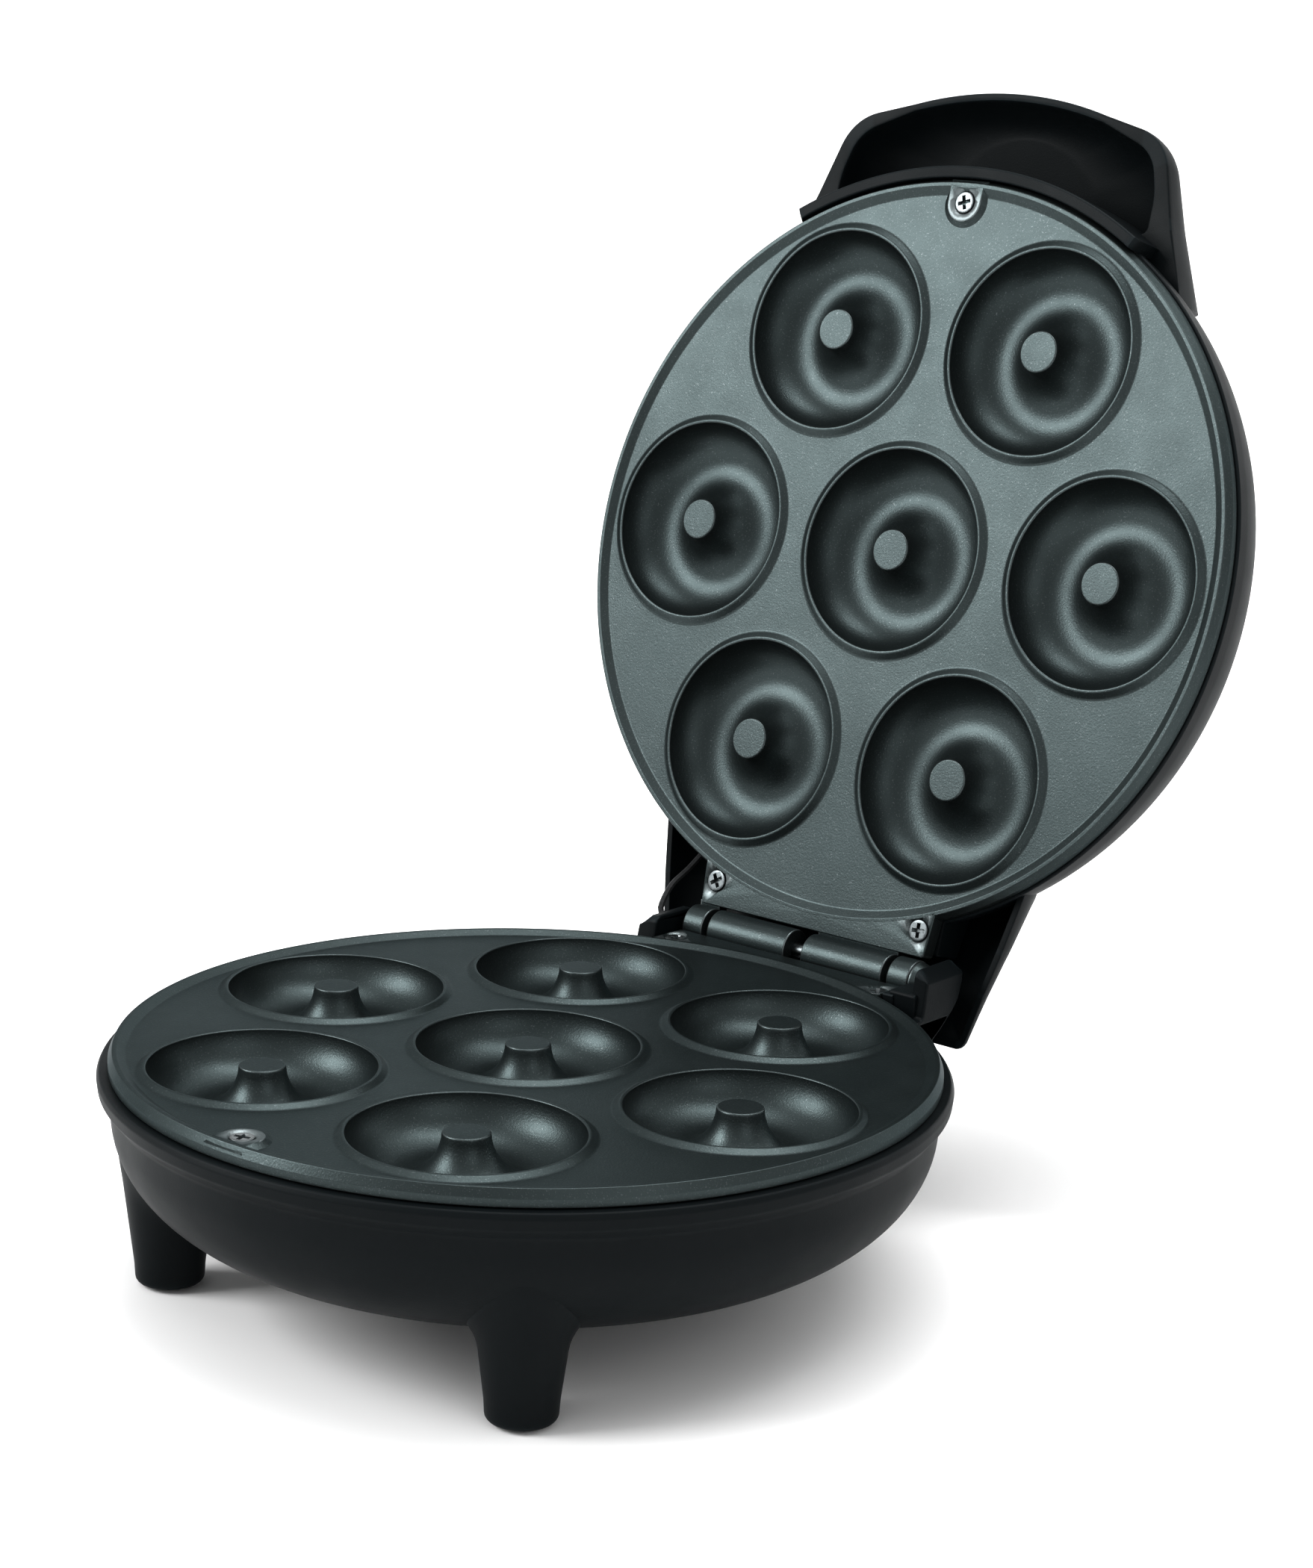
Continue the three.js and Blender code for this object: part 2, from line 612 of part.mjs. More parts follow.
function handleScrew(name, side) {
  const [headY, tipY] = [92.3, 104.9];
  const screw = turned([[0, headY - 2], [3, headY - 2], [3, headY], [0.9, headY], [0.9, tipY], [0, tipY]], 10);
  return toMesh(name, screw.rotate([90, 0, 0]).translate([side * handleScrewX, 0, handleScrewZ]), steel);
}

function lens(name, x, material) {
  const top = domeTopZ(lampY);
  const cap = [[3.3, top + gap], [5, top + gap], [4.4, top + 1.5], [0, top + 2]];
  const shape = turned([[0, top - 5], [3.3, top - 5], ...cap], 14);
  return toMesh(name, shape.translate([x, lampY, 0]), material);
}

function neonLamp(name, x) {
  const top = domeTopZ(lampY) - 5 - gap;
  const shape = turned([[0, top - 12], [2.4, top - 12], [2.4, top - 2.5], [1.4, top - 0.6], [0, top]], 10);
  return toMesh(name, shape.translate([x, lampY, 0]), lampGlass);
}

function lampLead() {
  const z = domeTopZ(lampY) - 18.5;
  const route = [[-12, lampY, z], [-8, lampY + 2, z - 2.4], [8, lampY + 2, z - 2.4], [12, lampY, z]];
  return toMesh('lamp_lead', tube(route, 0.9, 8), leadSleeve);
}

function lidLeadUpper() {
  const z = hingeZ - closedGap;
  const radius = 2.2;
  const bendCentre = [-51.2, hingeY - radius, z];
  const route = [
    [leadMeetX - gap, hingeY, z], ...bendPoints(bendCentre, [0, 1, 0], [-1, 0, 0], radius),
    [-53.3, 108, z + 2.5], [-52.6, 102, 8], [-51.5, 97.5, 11],
  ];
  return toMesh('lid_lead_upper', tube(route, leadRadius, 20), leadSleeve);
}

// Assembly
function heatingParts(prefix) {
  const parts = [tubularHeater(`${prefix}_heater`), reflectorPan(`${prefix}_reflector`)];
  clipAngles.forEach((angle, i) => {
    parts.push(heaterClip(`${prefix}_heater_clip_${i + 1}`, angle));
    parts.push(clipScrew(`${prefix}_clip_screw_${i + 1}`, angle));
  });
  return parts;
}

function plateParts(prefix) {
  const screws = screwSpots.map(([side, spot]) => plateScrew(`${prefix}_plate_screw_${side}`, spot));
  return [cookingPlate(`${prefix}_plate`, prefix === 'lower'), ...screws, ...heatingParts(prefix)];
}

function hingePin() {
  const pin = barX(pinRadius, -41.5, bossEndX - 2.6, 12).translate([0, hingeY, hingeZ]);
  return toMesh('hinge_pin', pin, steel);
}

const base = new THREE.Group();
base.add(baseCasing(), ...plateParts('lower'), thermostat(), thermalFuse(), hingePin(), cordGland());
base.add(terminalBlock(), mainsLead('mains_lead_live', 1), mainsLead('mains_lead_neutral', -1));
base.add(heaterLead('heater_lead_live', 1), heaterLead('heater_lead_neutral', -1), lidLeadLower());
legSpots.forEach((spot, i) => base.add(footPad(`foot_pad_${i + 1}`, spot)));

const upperSet = new THREE.Group();
upperSet.add(...plateParts('upper'));
upperSet.rotation.y = Math.PI;

const lid = new THREE.Group();
lid.add(upperSet, lidCasing(), handle(), handleScrew('handle_screw_left', -1), handleScrew('handle_screw_right', 1));
for (const [use, x, material] of lampSpots) lid.add(lens(`${use}_lens`, x, material), neonLamp(`${use}_lamp`, x));
lid.add(lampLead(), lidLeadUpper());
lid.position.set(0, -hingeY, closedGap - hingeZ);

const lidPivot = new THREE.Group();
lidPivot.add(lid);
lidPivot.position.set(0, hingeY, hingeZ);
lidPivot.rotation.x = -openAngle;

const group = new THREE.Group();
group.add(base, lidPivot);
group.position.set(0, -modelCentreY, -floorZ);

export default group;
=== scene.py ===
import json
from math import acos, atan2, cos, degrees, pi, radians, sin, sqrt, tan

import bpy
from mathutils import Matrix, Vector
from mathutils.geometry import delaunay_2d_cdt


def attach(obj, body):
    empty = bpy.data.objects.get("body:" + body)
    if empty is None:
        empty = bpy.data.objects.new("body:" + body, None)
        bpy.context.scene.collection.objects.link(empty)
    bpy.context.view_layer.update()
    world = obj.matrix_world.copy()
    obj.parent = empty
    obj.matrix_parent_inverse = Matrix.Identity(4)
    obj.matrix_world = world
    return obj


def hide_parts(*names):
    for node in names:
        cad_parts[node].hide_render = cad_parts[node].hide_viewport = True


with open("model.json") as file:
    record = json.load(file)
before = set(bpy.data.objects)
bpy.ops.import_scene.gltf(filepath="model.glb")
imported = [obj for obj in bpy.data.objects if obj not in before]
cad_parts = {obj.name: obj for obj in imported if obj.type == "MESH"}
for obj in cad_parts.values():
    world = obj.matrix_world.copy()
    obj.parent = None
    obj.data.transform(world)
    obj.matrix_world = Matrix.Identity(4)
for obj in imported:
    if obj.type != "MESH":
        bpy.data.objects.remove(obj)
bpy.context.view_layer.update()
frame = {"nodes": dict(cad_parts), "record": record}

# Places that come from the frame
MM = 0.001
HINGE_Y = 116.7
HINGE_Z = 0.4
CLOSED_GAP = 0.8
hinge_joint = frame["record"]["behaviour"]["joints"][0]
hinge = Vector(hinge_joint["pos_m"])
open_angle = radians(hinge_joint["range_deg"][1])
plate_centre = hinge - Vector((0, HINGE_Y, HINGE_Z)) * MM
FLOOR_Z = -plate_centre.z / MM
BASE = Matrix.Translation(plate_centre) @ Matrix.Scale(MM, 4)
LID = (
    Matrix.Translation(hinge)
    @ Matrix.Rotation(-open_angle, 4, "X")
    @ Matrix.Scale(MM, 4)
    @ Matrix.Translation((0, -HINGE_Y, CLOSED_GAP - HINGE_Z))
)
TURNED_OVER = Matrix.Rotation(pi, 4, "Y")

# Driving dimensions of the cooking plates
MOULD_PITCH = 70
MOULD_OUTER = 29.05
MOULD_INNER = 5.95
MOULD_SLOPE_RADIUS = MOULD_OUTER + 2.5
MOULD_OPENING = MOULD_SLOPE_RADIUS + 2
TUBE_RADIUS = (MOULD_OUTER - MOULD_INNER) / 2
TUBE_CENTRE = (MOULD_OUTER + MOULD_INNER) / 2
MOULD_BACK = -TUBE_RADIUS - 3
PLATE_RADIUS = 106
PLATE_THICKNESS = 4.5
PLATE_RECESS = 1.3
FLANGE_RADIUS = PLATE_RADIUS + 1.1
RECESS_RADIUS = PLATE_RADIUS - 3.4
KNUCKLE_RADIUS = 5.8
TAB_REAR_Y = HINGE_Y - 6.4
SCREW_HOLE_RADIUS = 3.9
SCREWS = {"front": (0, -100.4), "left": (-36, 103.1), "right": (36, 103.1)}

# Driving dimensions of the base casing: its round wall is a quarter ellipse
BOWL_CENTRE_R, BOWL_CENTRE_Z = 66.5, -16
BOWL_DEPTH = 46.5
BOWL_REACH = 40
BOWL_RISE = BOWL_DEPTH + BOWL_CENTRE_Z
COLLAR_RADIUS = 110
COLLAR_TOP = -4.8
LEGS = [(-61.2, -68), (61.2, -68), (-42, 86), (42, 86)]
LEG_SHAFT_LOW, LEG_SHAFT_TOP, LEG_TOP = -57, -22, -20
LEFT_EAR = {"outer": -50, "inner": -43.2, "top": 4.2, "chamfer": 4}
RIGHT_EAR = {"outer": 52.5, "inner": 47.8, "top": 8.2, "chamfer": 3.5}
BLOCK_UNDERSIDE = [(90, -20, 0), (98, -17.5, 4), (104, -14, 3), (110.5, -9.7, 4)]

# Driving dimensions of the lid casing: its shoulder is a quarter ellipse too
DOME_HEIGHT = 47.85
DOME_CENTRE_R, DOME_CENTRE_Z = 64, 2
DOME_REACH = 44
DOME_RISE = DOME_HEIGHT - DOME_CENTRE_Z
DOME_RIM_Z = PLATE_THICKNESS + 0.3
DOME_CROWN = 2
SKIRT_RIM_Z = 6.6
SKIRT_REAR_Y = 132.8

# Driving dimensions of the handle
HANDLE_FRONT_Y = -135.1
HANDLE_BEND_Y = -90
HANDLE_RIM_Z = 12
HANDLE_TOP_Z = 37
HANDLE_ARC_RADIUS = 118
HANDLE_WALL = 2.2
LIP_RADIUS = 111
LIP_HALF_ANGLE = 32

# Segments round a circle
ROUND_SEGMENTS = 220
MOULD_SEGMENTS = 112
LEG_SEGMENTS = 72
SMALL_SEGMENTS = 64
BAR_SEGMENTS = 48
SCREW_SEGMENTS = 40


# ---------------------------------------------------------------- camera

def make_camera():
    """A long lens at the photograph's viewing angle: to the right of the front and a little above."""
    azimuth, elevation, roll = radians(39.46), radians(13.60), radians(1.92)
    from_plate_centre = Vector((542.586, -610.647, 267.211)) * MM
    back = Vector((sin(azimuth) * cos(elevation), -cos(azimuth) * cos(elevation), sin(elevation)))
    right = (-back).cross(Vector((0, 0, 1))).normalized()
    up = right.cross(-back)
    rolled_right = cos(roll) * right + sin(roll) * up
    rolled_up = cos(roll) * up - sin(roll) * right
    data = bpy.data.cameras.new("camera")
    data.sensor_width = 36
    data.lens = 76.22
    data.clip_start = 0.05
    camera = bpy.data.objects.new("camera", data)
    axes = Matrix((rolled_right, rolled_up, back)).transposed()
    camera.matrix_world = Matrix.Translation(plate_centre + from_plate_centre) @ axes.to_4x4()
    bpy.context.scene.collection.objects.link(camera)
    bpy.context.scene.camera = camera


make_camera()


# ---------------------------------------------------------------- shape helpers

def arc(centre, radius, start, end, steps):
    """Points on an arc, from one angle to another in degrees."""
    angles = [radians(start + (end - start) * i / steps) for i in range(steps + 1)]
    return [(centre[0] + radius * cos(a), centre[1] + radius * sin(a)) for a in angles]


def circle(centre, radius, count):
    return arc(centre, radius, 0, 360 - 360 / count, count - 1)


def rounded(corners, closed=False, steps=5):
    """An outline through corners (x, y, radius), with each corner that has a radius turned into an arc."""
    points = []
    count = len(corners)
    for i, (x, y, radius) in enumerate(corners):
        here = Vector((x, y))
        at_end = not closed and i in (0, count - 1)
        if radius == 0 or at_end:
            points.append((x, y))
            continue
        before = (Vector(corners[i - 1][:2]) - here).normalized()
        after = (Vector(corners[(i + 1) % count][:2]) - here).normalized()
        half = before.angle(after) / 2
        start = here + before * radius / tan(half)
        end = here + after * radius / tan(half)
        centre = here + (before + after).normalized() * radius / sin(half)
        first = atan2(*(start - centre).yx)
        sweep = atan2(*(end - centre).yx) - first
        sweep = (sweep + pi) % (2 * pi) - pi
        for k in range(steps + 1):
            angle = first + sweep * k / steps
            points.append((centre.x + radius * cos(angle), centre.y + radius * sin(angle)))
    return points


def turned(profile, segments):
    """A surface turned about Z from a profile of (radius, z)."""
    on_axis = 1e-6
    verts, faces, rings = [], [], []
    for radius, z in profile:
        if radius < on_axis:
            rings.append([len(verts)] * segments)
            verts.append((0, 0, z))
            continue
        rings.append([len(verts) + i for i in range(segments)])
        for i in range(segments):
            angle = 2 * pi * i / segments
            verts.append((radius * cos(angle), radius * sin(angle), z))
    for low, high in zip(rings, rings[1:]):
        for i in range(segments):
            j = (i + 1) % segments
            face = list(dict.fromkeys((low[i], low[j], high[j], high[i])))
            if len(face) > 2:
                faces.append(face)
    return verts, faces


def lofted(rings, cap_low=True, cap_high=True):
    """Rings with equal numbers of points (x, y, z), joined by quads."""
    count = len(rings[0])
    verts = [point for ring in rings for point in ring]
    faces = []
    for s in range(len(rings) - 1):
        for i in range(count):
            j = (i + 1) % count
            faces.append([s * count + i, s * count + j, (s + 1) * count + j, (s + 1) * count + i])
    if cap_low:
        faces.append(list(range(count))[::-1])
    if cap_high:
        faces.append([(len(rings) - 1) * count + i for i in range(count)])
    return verts, faces


def ring_at(outline, z):
    return [(x, y, z) for x, y in outline]


def inside(point, outline):
    """Whether a flat point lies inside a closed outline."""
    x, y = point
    crossings = 0
    for (x1, y1), (x2, y2) in zip(outline, outline[1:] + outline[:1]):
        if (y1 > y) != (y2 > y) and x < x1 + (y - y1) * (x2 - x1) / (y2 - y1):
            crossings += 1
    return crossings % 2 == 1


def flat(outer, holes, z):
    """A flat face at one height, with holes."""
    fill_outline, merge_distance = 1, 1e-6
    points, edges = [], []
    for outline in [outer, *holes]:
        start = len(points)
        points.extend(Vector(p) for p in outline)
        edges.extend((start + i, start + (i + 1) % len(outline)) for i in range(len(outline)))
    result = delaunay_2d_cdt(points, edges, [], fill_outline, merge_distance)
    verts = [(p.x, p.y, z) for p in result[0]]
    faces = []
    for face in result[2]:
        middle = sum((result[0][i] for i in face), Vector((0, 0))) / len(face)
        if inside(middle, outer) and not any(inside(middle, hole) for hole in holes):
            faces.append(list(face))
    return verts, faces


def moved(shape, matrix):
    verts, faces = shape
    return [tuple(matrix @ Vector(v)) for v in verts], faces


def shifted(shape, x, y, z=0):
    return moved(shape, Matrix.Translation((x, y, z)))


def joined(*shapes):
    verts, faces = [], []
    for shape_verts, shape_faces in shapes:
        start = len(verts)
        verts.extend(shape_verts)
        faces.extend([[start + i for i in face] for face in shape_faces])
    return verts, faces


def inset(outline, distance):
    """A closed outline moved inwards along its own normals."""
    area = sum(x1 * y2 - x2 * y1 for (x1, y1), (x2, y2) in zip(outline, outline[1:] + outline[:1]))
    turn = 1 if area > 0 else -1
    result = []
    count = len(outline)
    for i, (x, y) in enumerate(outline):
        before, after = outline[i - 1], outline[(i + 1) % count]
        along = Vector((after[0] - before[0], after[1] - before[1])).normalized()
        result.append((x - along.y * distance * turn, y + along.x * distance * turn))
    return result


def extruded_x(outline, low, high, bevel):
    """An outline of (y, z) extruded along X, with its two end edges rounded."""
    partway = bevel * 0.3
    steps = [(low, bevel), (low + partway, partway), (low + bevel, 0)]
    steps += [(high - bevel, 0), (high - partway, partway), (high, bevel)]
    return lofted([[(x, y, z) for y, z in inset(outline, d)] for x, d in steps])


def bar_x(radius, low, high, bevel, end_radius=None):
    """A round bar along X with small rounded ends, tapered when its far end has its own radius."""
    far = radius if end_radius is None else end_radius
    profile = rounded([(0, low, 0), (radius, low, bevel), (far, high, bevel), (0, high, 0)], steps=3)
    return moved(turned(profile, BAR_SEGMENTS), Matrix.Rotation(pi / 2, 4, "Y"))


def along_hinge(shape):
    return shifted(shape, 0, HINGE_Y, HINGE_Z)


def mark_edges(mesh):
    """Stores each vertex's outward bend as the mask for a painted highlight on outward edges: 0 where the
    surface is flat, hollow or coarse.
    """
    bend = [0.0] * len(mesh.vertices)
    count = [0] * len(mesh.vertices)
    for edge in mesh.edges:
        first, second = (mesh.vertices[i] for i in edge.vertices)
        along = (second.co - first.co).normalized()
        bend[first.index] -= first.normal @ along
        bend[second.index] += second.normal @ along
        count[first.index] += 1
        count[second.index] += 1
    coarse = 5 * MM
    for face in mesh.polygons:
        corners = [mesh.vertices[i].co for i in face.vertices]
        if max((corner - corners[0]).length for corner in corners) > coarse:
            for i in face.vertices:
                bend[i] = 0
    # The materials paint a highlight where this mask is high
    edge_highlight_mask = mesh.attributes.new("edge_highlight_mask", "FLOAT", "POINT")
    for index, total in enumerate(count):
        edge_highlight_mask.data[index].value = max(0, bend[index] / max(total, 1))


def add_piece(name, shape, matrix, slot, body, replaces, sharp=40):
    """Makes a mesh piece in the row frame, smooth except where its faces meet at a sharp angle."""
    weld_distance = 2e-6
    verts, faces = moved(shape, matrix)
    mesh = bpy.data.meshes.new(name)
    mesh.from_pydata(verts, [], faces)
    mesh.validate()
    piece = bpy.data.objects.new(name, mesh)
    bpy.context.scene.collection.objects.link(piece)
    mesh.materials.append(MATERIALS[slot])
    weld = piece.modifiers.new("weld", "WELD")
    weld.merge_threshold = weld_distance
    bpy.context.view_layer.objects.active = piece
    piece.select_set(True)
    bpy.ops.object.modifier_apply(modifier=weld.name)
    bpy.ops.object.mode_set(mode="EDIT")
    bpy.ops.mesh.select_all(action="SELECT")
    bpy.ops.mesh.normals_make_consistent(inside=False)
    bpy.ops.object.mode_set(mode="OBJECT")
    mesh.shade_smooth()
    mesh.set_sharp_from_angle(angle=radians(sharp))
    mark_edges(mesh)
    normals = piece.modifiers.new("normals", "WEIGHTED_NORMAL")
    normals.keep_sharp = True
    piece.select_set(False)
    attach(piece, body)
    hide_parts(*replaces)


# ---------------------------------------------------------------- materials

def new_material(name):
    material = bpy.data.materials.new(name)
    material.use_nodes = True
    nodes = material.node_tree.nodes
    return material, nodes, material.node_tree.links, nodes["Principled BSDF"]


def scaled(colour, factor):
    """A colour made brighter or darker, but never brighter than white."""
    return tuple(min(1, c * factor) for c in colour)


def add_noise(nodes, links, scale, detail):
    """Noise over the object's own coordinates: scale is in features per metre."""
    coordinates = nodes.new("ShaderNodeTexCoord")
    noise = nodes.new("ShaderNodeTexNoise")
    noise.inputs["Scale"].default_value = scale
    noise.inputs["Detail"].default_value = detail
    links.new(coordinates.outputs["Object"], noise.inputs["Vector"])
    return noise.outputs["Fac"]


def add_range(nodes, links, value, low, high, start, end):
    """Spreads the part of a value between start and end over a new range."""
    spread = nodes.new("ShaderNodeMapRange")
    spread.inputs["From Min"].default_value = start
    spread.inputs["From Max"].default_value = end
    spread.inputs["To Min"].default_value = low
    spread.inputs["To Max"].default_value = high
    links.new(value, spread.inputs["Value"])
    return spread.outputs["Result"]


def add_patches(nodes, links, scale, detail, low=0, high=1, start=0.3, end=0.7):
    """Soft patches of noise between a low and a high value."""
    return add_range(nodes, links, add_noise(nodes, links, scale, detail), low, high, start, end)


def add_mix(nodes, links, factor, first, second):
    """Mixes two colours, each a tuple or a socket."""
    mix = nodes.new("ShaderNodeMix")
    mix.data_type = "RGBA"
    factor_socket, first_socket, second_socket = mix.inputs[0], mix.inputs[6], mix.inputs[7]
    links.new(factor, factor_socket)
    for socket, colour in ((first_socket, first), (second_socket, second)):
        if isinstance(colour, tuple):
            socket.default_value = (*colour, 1)
        else:
            links.new(colour, socket)
    return mix.outputs[2]


def add_bump(nodes, links, shader, scale, detail, strength, distance):
    """Fine relief made of noise. Its distance is in metres."""
    height = add_noise(nodes, links, scale, detail)
    bump = nodes.new("ShaderNodeBump")
    bump.inputs["Strength"].default_value = strength
    bump.inputs["Distance"].default_value = distance
    links.new(height, bump.inputs["Height"])
    links.new(bump.outputs["Normal"], shader.inputs["Normal"])


def painted_edge_highlight(nodes, links, low=0.04, high=0.16):
    """The mask of a painted highlight: 1 on the sharpest outward edges, 0 elsewhere, from the marks that
    mark_edges stores.
    """
    attribute = nodes.new("ShaderNodeAttribute")
    attribute.attribute_name = "edge_highlight_mask"
    return add_range(nodes, links, attribute.outputs["Fac"], 0, 1, low, high)


def make_plastic(name, dark, light, rough_low, rough_high):
    """Moulded plastic: fine grain, faint cloudiness and a painted highlight along its outward edges."""
    material, nodes, links, shader = new_material(name)
    shader.inputs["Specular IOR Level"].default_value = 0.12
    clouds = add_patches(nodes, links, scale=28, detail=3)
    body = add_mix(nodes, links, clouds, dark, light)
    # Painted highlight: outward edges lightened towards 1.9 times the light colour
    edge_lit = add_mix(nodes, links, painted_edge_highlight(nodes, links), body, scaled(light, 1.9))
    links.new(edge_lit, shader.inputs["Base Color"])
    rough = add_patches(nodes, links, scale=60, detail=4, low=rough_low, high=rough_high)
    links.new(rough, shader.inputs["Roughness"])
    add_bump(nodes, links, shader, scale=2600, detail=2, strength=0.25, distance=0.00012)
    return material


def make_non_stick():
    """Dark non-stick coating over cast aluminium: pebbled, faintly speckled, with a metallic sheen and a
    painted highlight along its outward edges.
    """
    dark, light = (0.046, 0.058, 0.059), (0.058, 0.072, 0.073)
    # The first colour is for the flecks; the second is a painted highlight for outward edges
    fleck_colour, edge_highlight_colour = (0.11, 0.125, 0.128), (0.20, 0.225, 0.23)
    material, nodes, links, shader = new_material("non_stick")
    shader.inputs["Metallic"].default_value = 0.85
    shader.inputs["Specular Tint"].default_value = (0.42, 0.45, 0.46, 1)
    clouds = add_patches(nodes, links, scale=20, detail=4)
    body = add_mix(nodes, links, clouds, dark, light)
    fleck = add_patches(nodes, links, scale=2400, detail=1, start=0.62, end=0.80)
    flecked = add_mix(nodes, links, fleck, body, fleck_colour)
    # Painted highlight along outward edges, such as the mould lips
    edge_lit = add_mix(nodes, links, painted_edge_highlight(nodes, links, 0.05, 0.2), flecked, edge_highlight_colour)
    links.new(edge_lit, shader.inputs["Base Color"])
    rough = add_patches(nodes, links, scale=90, detail=5, low=0.36, high=0.41)
    links.new(rough, shader.inputs["Roughness"])
    add_bump(nodes, links, shader, scale=1900, detail=3, strength=0.5, distance=0.0001)
    return material


def make_metal(name, colour, rough_low, rough_high):
    """Bare metal with fine tooling marks, dull patches and a painted highlight along its outward edges."""
    material, nodes, links, shader = new_material(name)
    shader.inputs["Metallic"].default_value = 1.0
    dull = add_patches(nodes, links, scale=120, detail=4)
    body = add_mix(nodes, links, dull, colour, scaled(colour, 0.72))
    # Painted highlight: outward edges lightened to 1.3 times the colour
    bright = add_mix(nodes, links, painted_edge_highlight(nodes, links), body, scaled(colour, 1.3))
    links.new(bright, shader.inputs["Base Color"])
    rough = add_patches(nodes, links, scale=300, detail=3, low=rough_low, high=rough_high)
    links.new(rough, shader.inputs["Roughness"])
    add_bump(nodes, links, shader, scale=700, detail=4, strength=0.2, distance=0.00008)
    return material


def make_matte(name, dark, light, scale, strength, rough=0.85):
    """Rubber, bare ceramic or woven sleeve: matte, with a mottled surface."""
    material, nodes, links, shader = new_material(name)
    shader.inputs["Roughness"].default_value = rough
    mottle = add_patches(nodes, links, scale=scale / 4, detail=3)
    links.new(add_mix(nodes, links, mottle, dark, light), shader.inputs["Base Color"])
    add_bump(nodes, links, shader, scale, detail=3, strength=strength, distance=0.0002)
    return material


def make_lens(name, colour, transmission):
    """Clear coloured lens or lamp glass with a faintly uneven surface."""
    material, nodes, links, shader = new_material(name)
    shader.inputs["Transmission Weight"].default_value = transmission
    tint = add_patches(nodes, links, scale=300, detail=2)
    tinted = add_mix(nodes, links, tint, colour, scaled(colour, 0.8))
    links.new(tinted, shader.inputs["Base Color"])
    rough = add_patches(nodes, links, scale=500, detail=2, low=0.05, high=0.14)
    links.new(rough, shader.inputs["Roughness"])
    add_bump(nodes, links, shader, scale=400, detail=2, strength=0.1, distance=0.00005)
    return material


MATERIALS = {
    "black_plastic": make_plastic(
        "black_plastic", (0.0043, 0.0066, 0.0077), (0.0051, 0.0076, 0.0087), 0.45, 0.52
    ),
    "non_stick": make_non_stick(),
    "steel": make_metal("steel", (0.15, 0.165, 0.17), 0.26, 0.4),
    "heater_sheath": make_metal("heater_sheath", (0.24, 0.24, 0.25), 0.45, 0.65),
    "pan_sheet": make_metal("pan_sheet", (0.66, 0.67, 0.68), 0.28, 0.42),
    "fuse_can": make_metal("fuse_can", (0.55, 0.55, 0.56), 0.3, 0.45),
    "ceramic": make_matte("ceramic", (0.72, 0.68, 0.60), (0.80, 0.77, 0.70), 1500, 0.3, 0.7),
    "lead_sleeve": make_matte("lead_sleeve", (0.020, 0.021, 0.022), (0.038, 0.040, 0.042), 2600, 0.8),
    "rubber": make_matte("rubber", (0.012, 0.012, 0.012), (0.022, 0.022, 0.022), 1800, 0.4),
    "red_lens": make_lens("red_lens", (0.55, 0.02, 0.015), 0.35),
    "green_lens": make_lens("green_lens", (0.03, 0.38, 0.07), 0.35),
    "lamp_glass": make_lens("lamp_glass", (0.86, 0.89, 0.89), 0.9),
}


def dress_cad_nodes():
    """Gives every CAD node the material of its slot. The ones replaced below are then hidden."""
    slots = {part["node"]: part["material_slot"] for part in frame["record"]["subparts"]}
    for name, node in frame["nodes"].items():
        node.data.materials.clear()
        node.data.materials.append(MATERIALS[slots[name]])


dress_cad_nodes()


# ---------------------------------------------------------------- cooking plates

def mould_spots():
    ring = [(MOULD_PITCH * cos(pi / 3 * i), MOULD_PITCH * sin(pi / 3 * i)) for i in range(6)]
    return [(0, 0), *ring]


def mould():
    """One ring mould: a raised lip, a half-round groove and a flat-topped peg.

    Its outer edge runs past the plate's opening for it, a little under the plate's flat.
    """
    lip_width = 0.6
    edge_radius = MOULD_SLOPE_RADIUS + 2.5
    back_foot, back_radius = 31, 25
    groove = arc((TUBE_CENTRE, 0), TUBE_RADIUS, -4, -176, 40)
    lip = rounded([
        (edge_radius, -PLATE_RECESS - 0.02, 0),
        (MOULD_OPENING, -PLATE_RECESS - 0.015, 0),
        (MOULD_SLOPE_RADIUS, -PLATE_RECESS, 1.6),
        (MOULD_OUTER + lip_width + 0.1, -0.05, 0.9),
        (MOULD_OUTER - 0.15, -0.1, 0.35),
        groove[0] + (0,),
    ])
    peg = rounded([groove[-1] + (0,), (MOULD_INNER - 0.1, 0, 0.5), (0, 0, 0)])
    back = [
        (0, MOULD_BACK),
        (back_radius, MOULD_BACK),
        (back_foot, -PLATE_THICKNESS),
        (edge_radius, -PLATE_THICKNESS),
    ]
    return turned(back + lip + groove[1:-1] + peg, MOULD_SEGMENTS)


def plate_disc():
    """The plate's rim, its recessed flat with round openings for the moulds, and its underside."""
    flat_radius = RECESS_RADIUS - 2
    crest_radius = PLATE_RADIUS - 1.1
    flange_top = -2.3
    rim = rounded([
        (flat_radius, -PLATE_THICKNESS, 0),
        (FLANGE_RADIUS, -PLATE_THICKNESS, 0.3),
        (FLANGE_RADIUS, flange_top, 0.6),
        (PLATE_RADIUS, 0, 0.35),
        (crest_radius, 0, 0.5),
        (RECESS_RADIUS, -PLATE_RECESS, 1.2),
        (flat_radius, -PLATE_RECESS, 0),
    ])
    holes = [circle(spot, MOULD_OPENING, MOULD_SEGMENTS) for spot in mould_spots()]
    edge = circle((0, 0), flat_radius, ROUND_SEGMENTS)
    sides = [flat(edge, holes, z) for z in (-PLATE_RECESS, -PLATE_THICKNESS)]
    return joined(turned(rim, ROUND_SEGMENTS), *sides)


def countersink(spot):
    """The cone and shank hole that a plate screw sits in."""
    shank_radius, cone_depth = 2.2, 1.7
    profile = [(SCREW_HOLE_RADIUS, 0), (shank_radius, -cone_depth), (shank_radius, -PLATE_THICKNESS)]
    return shifted(turned(profile, SCREW_SEGMENTS), *spot)


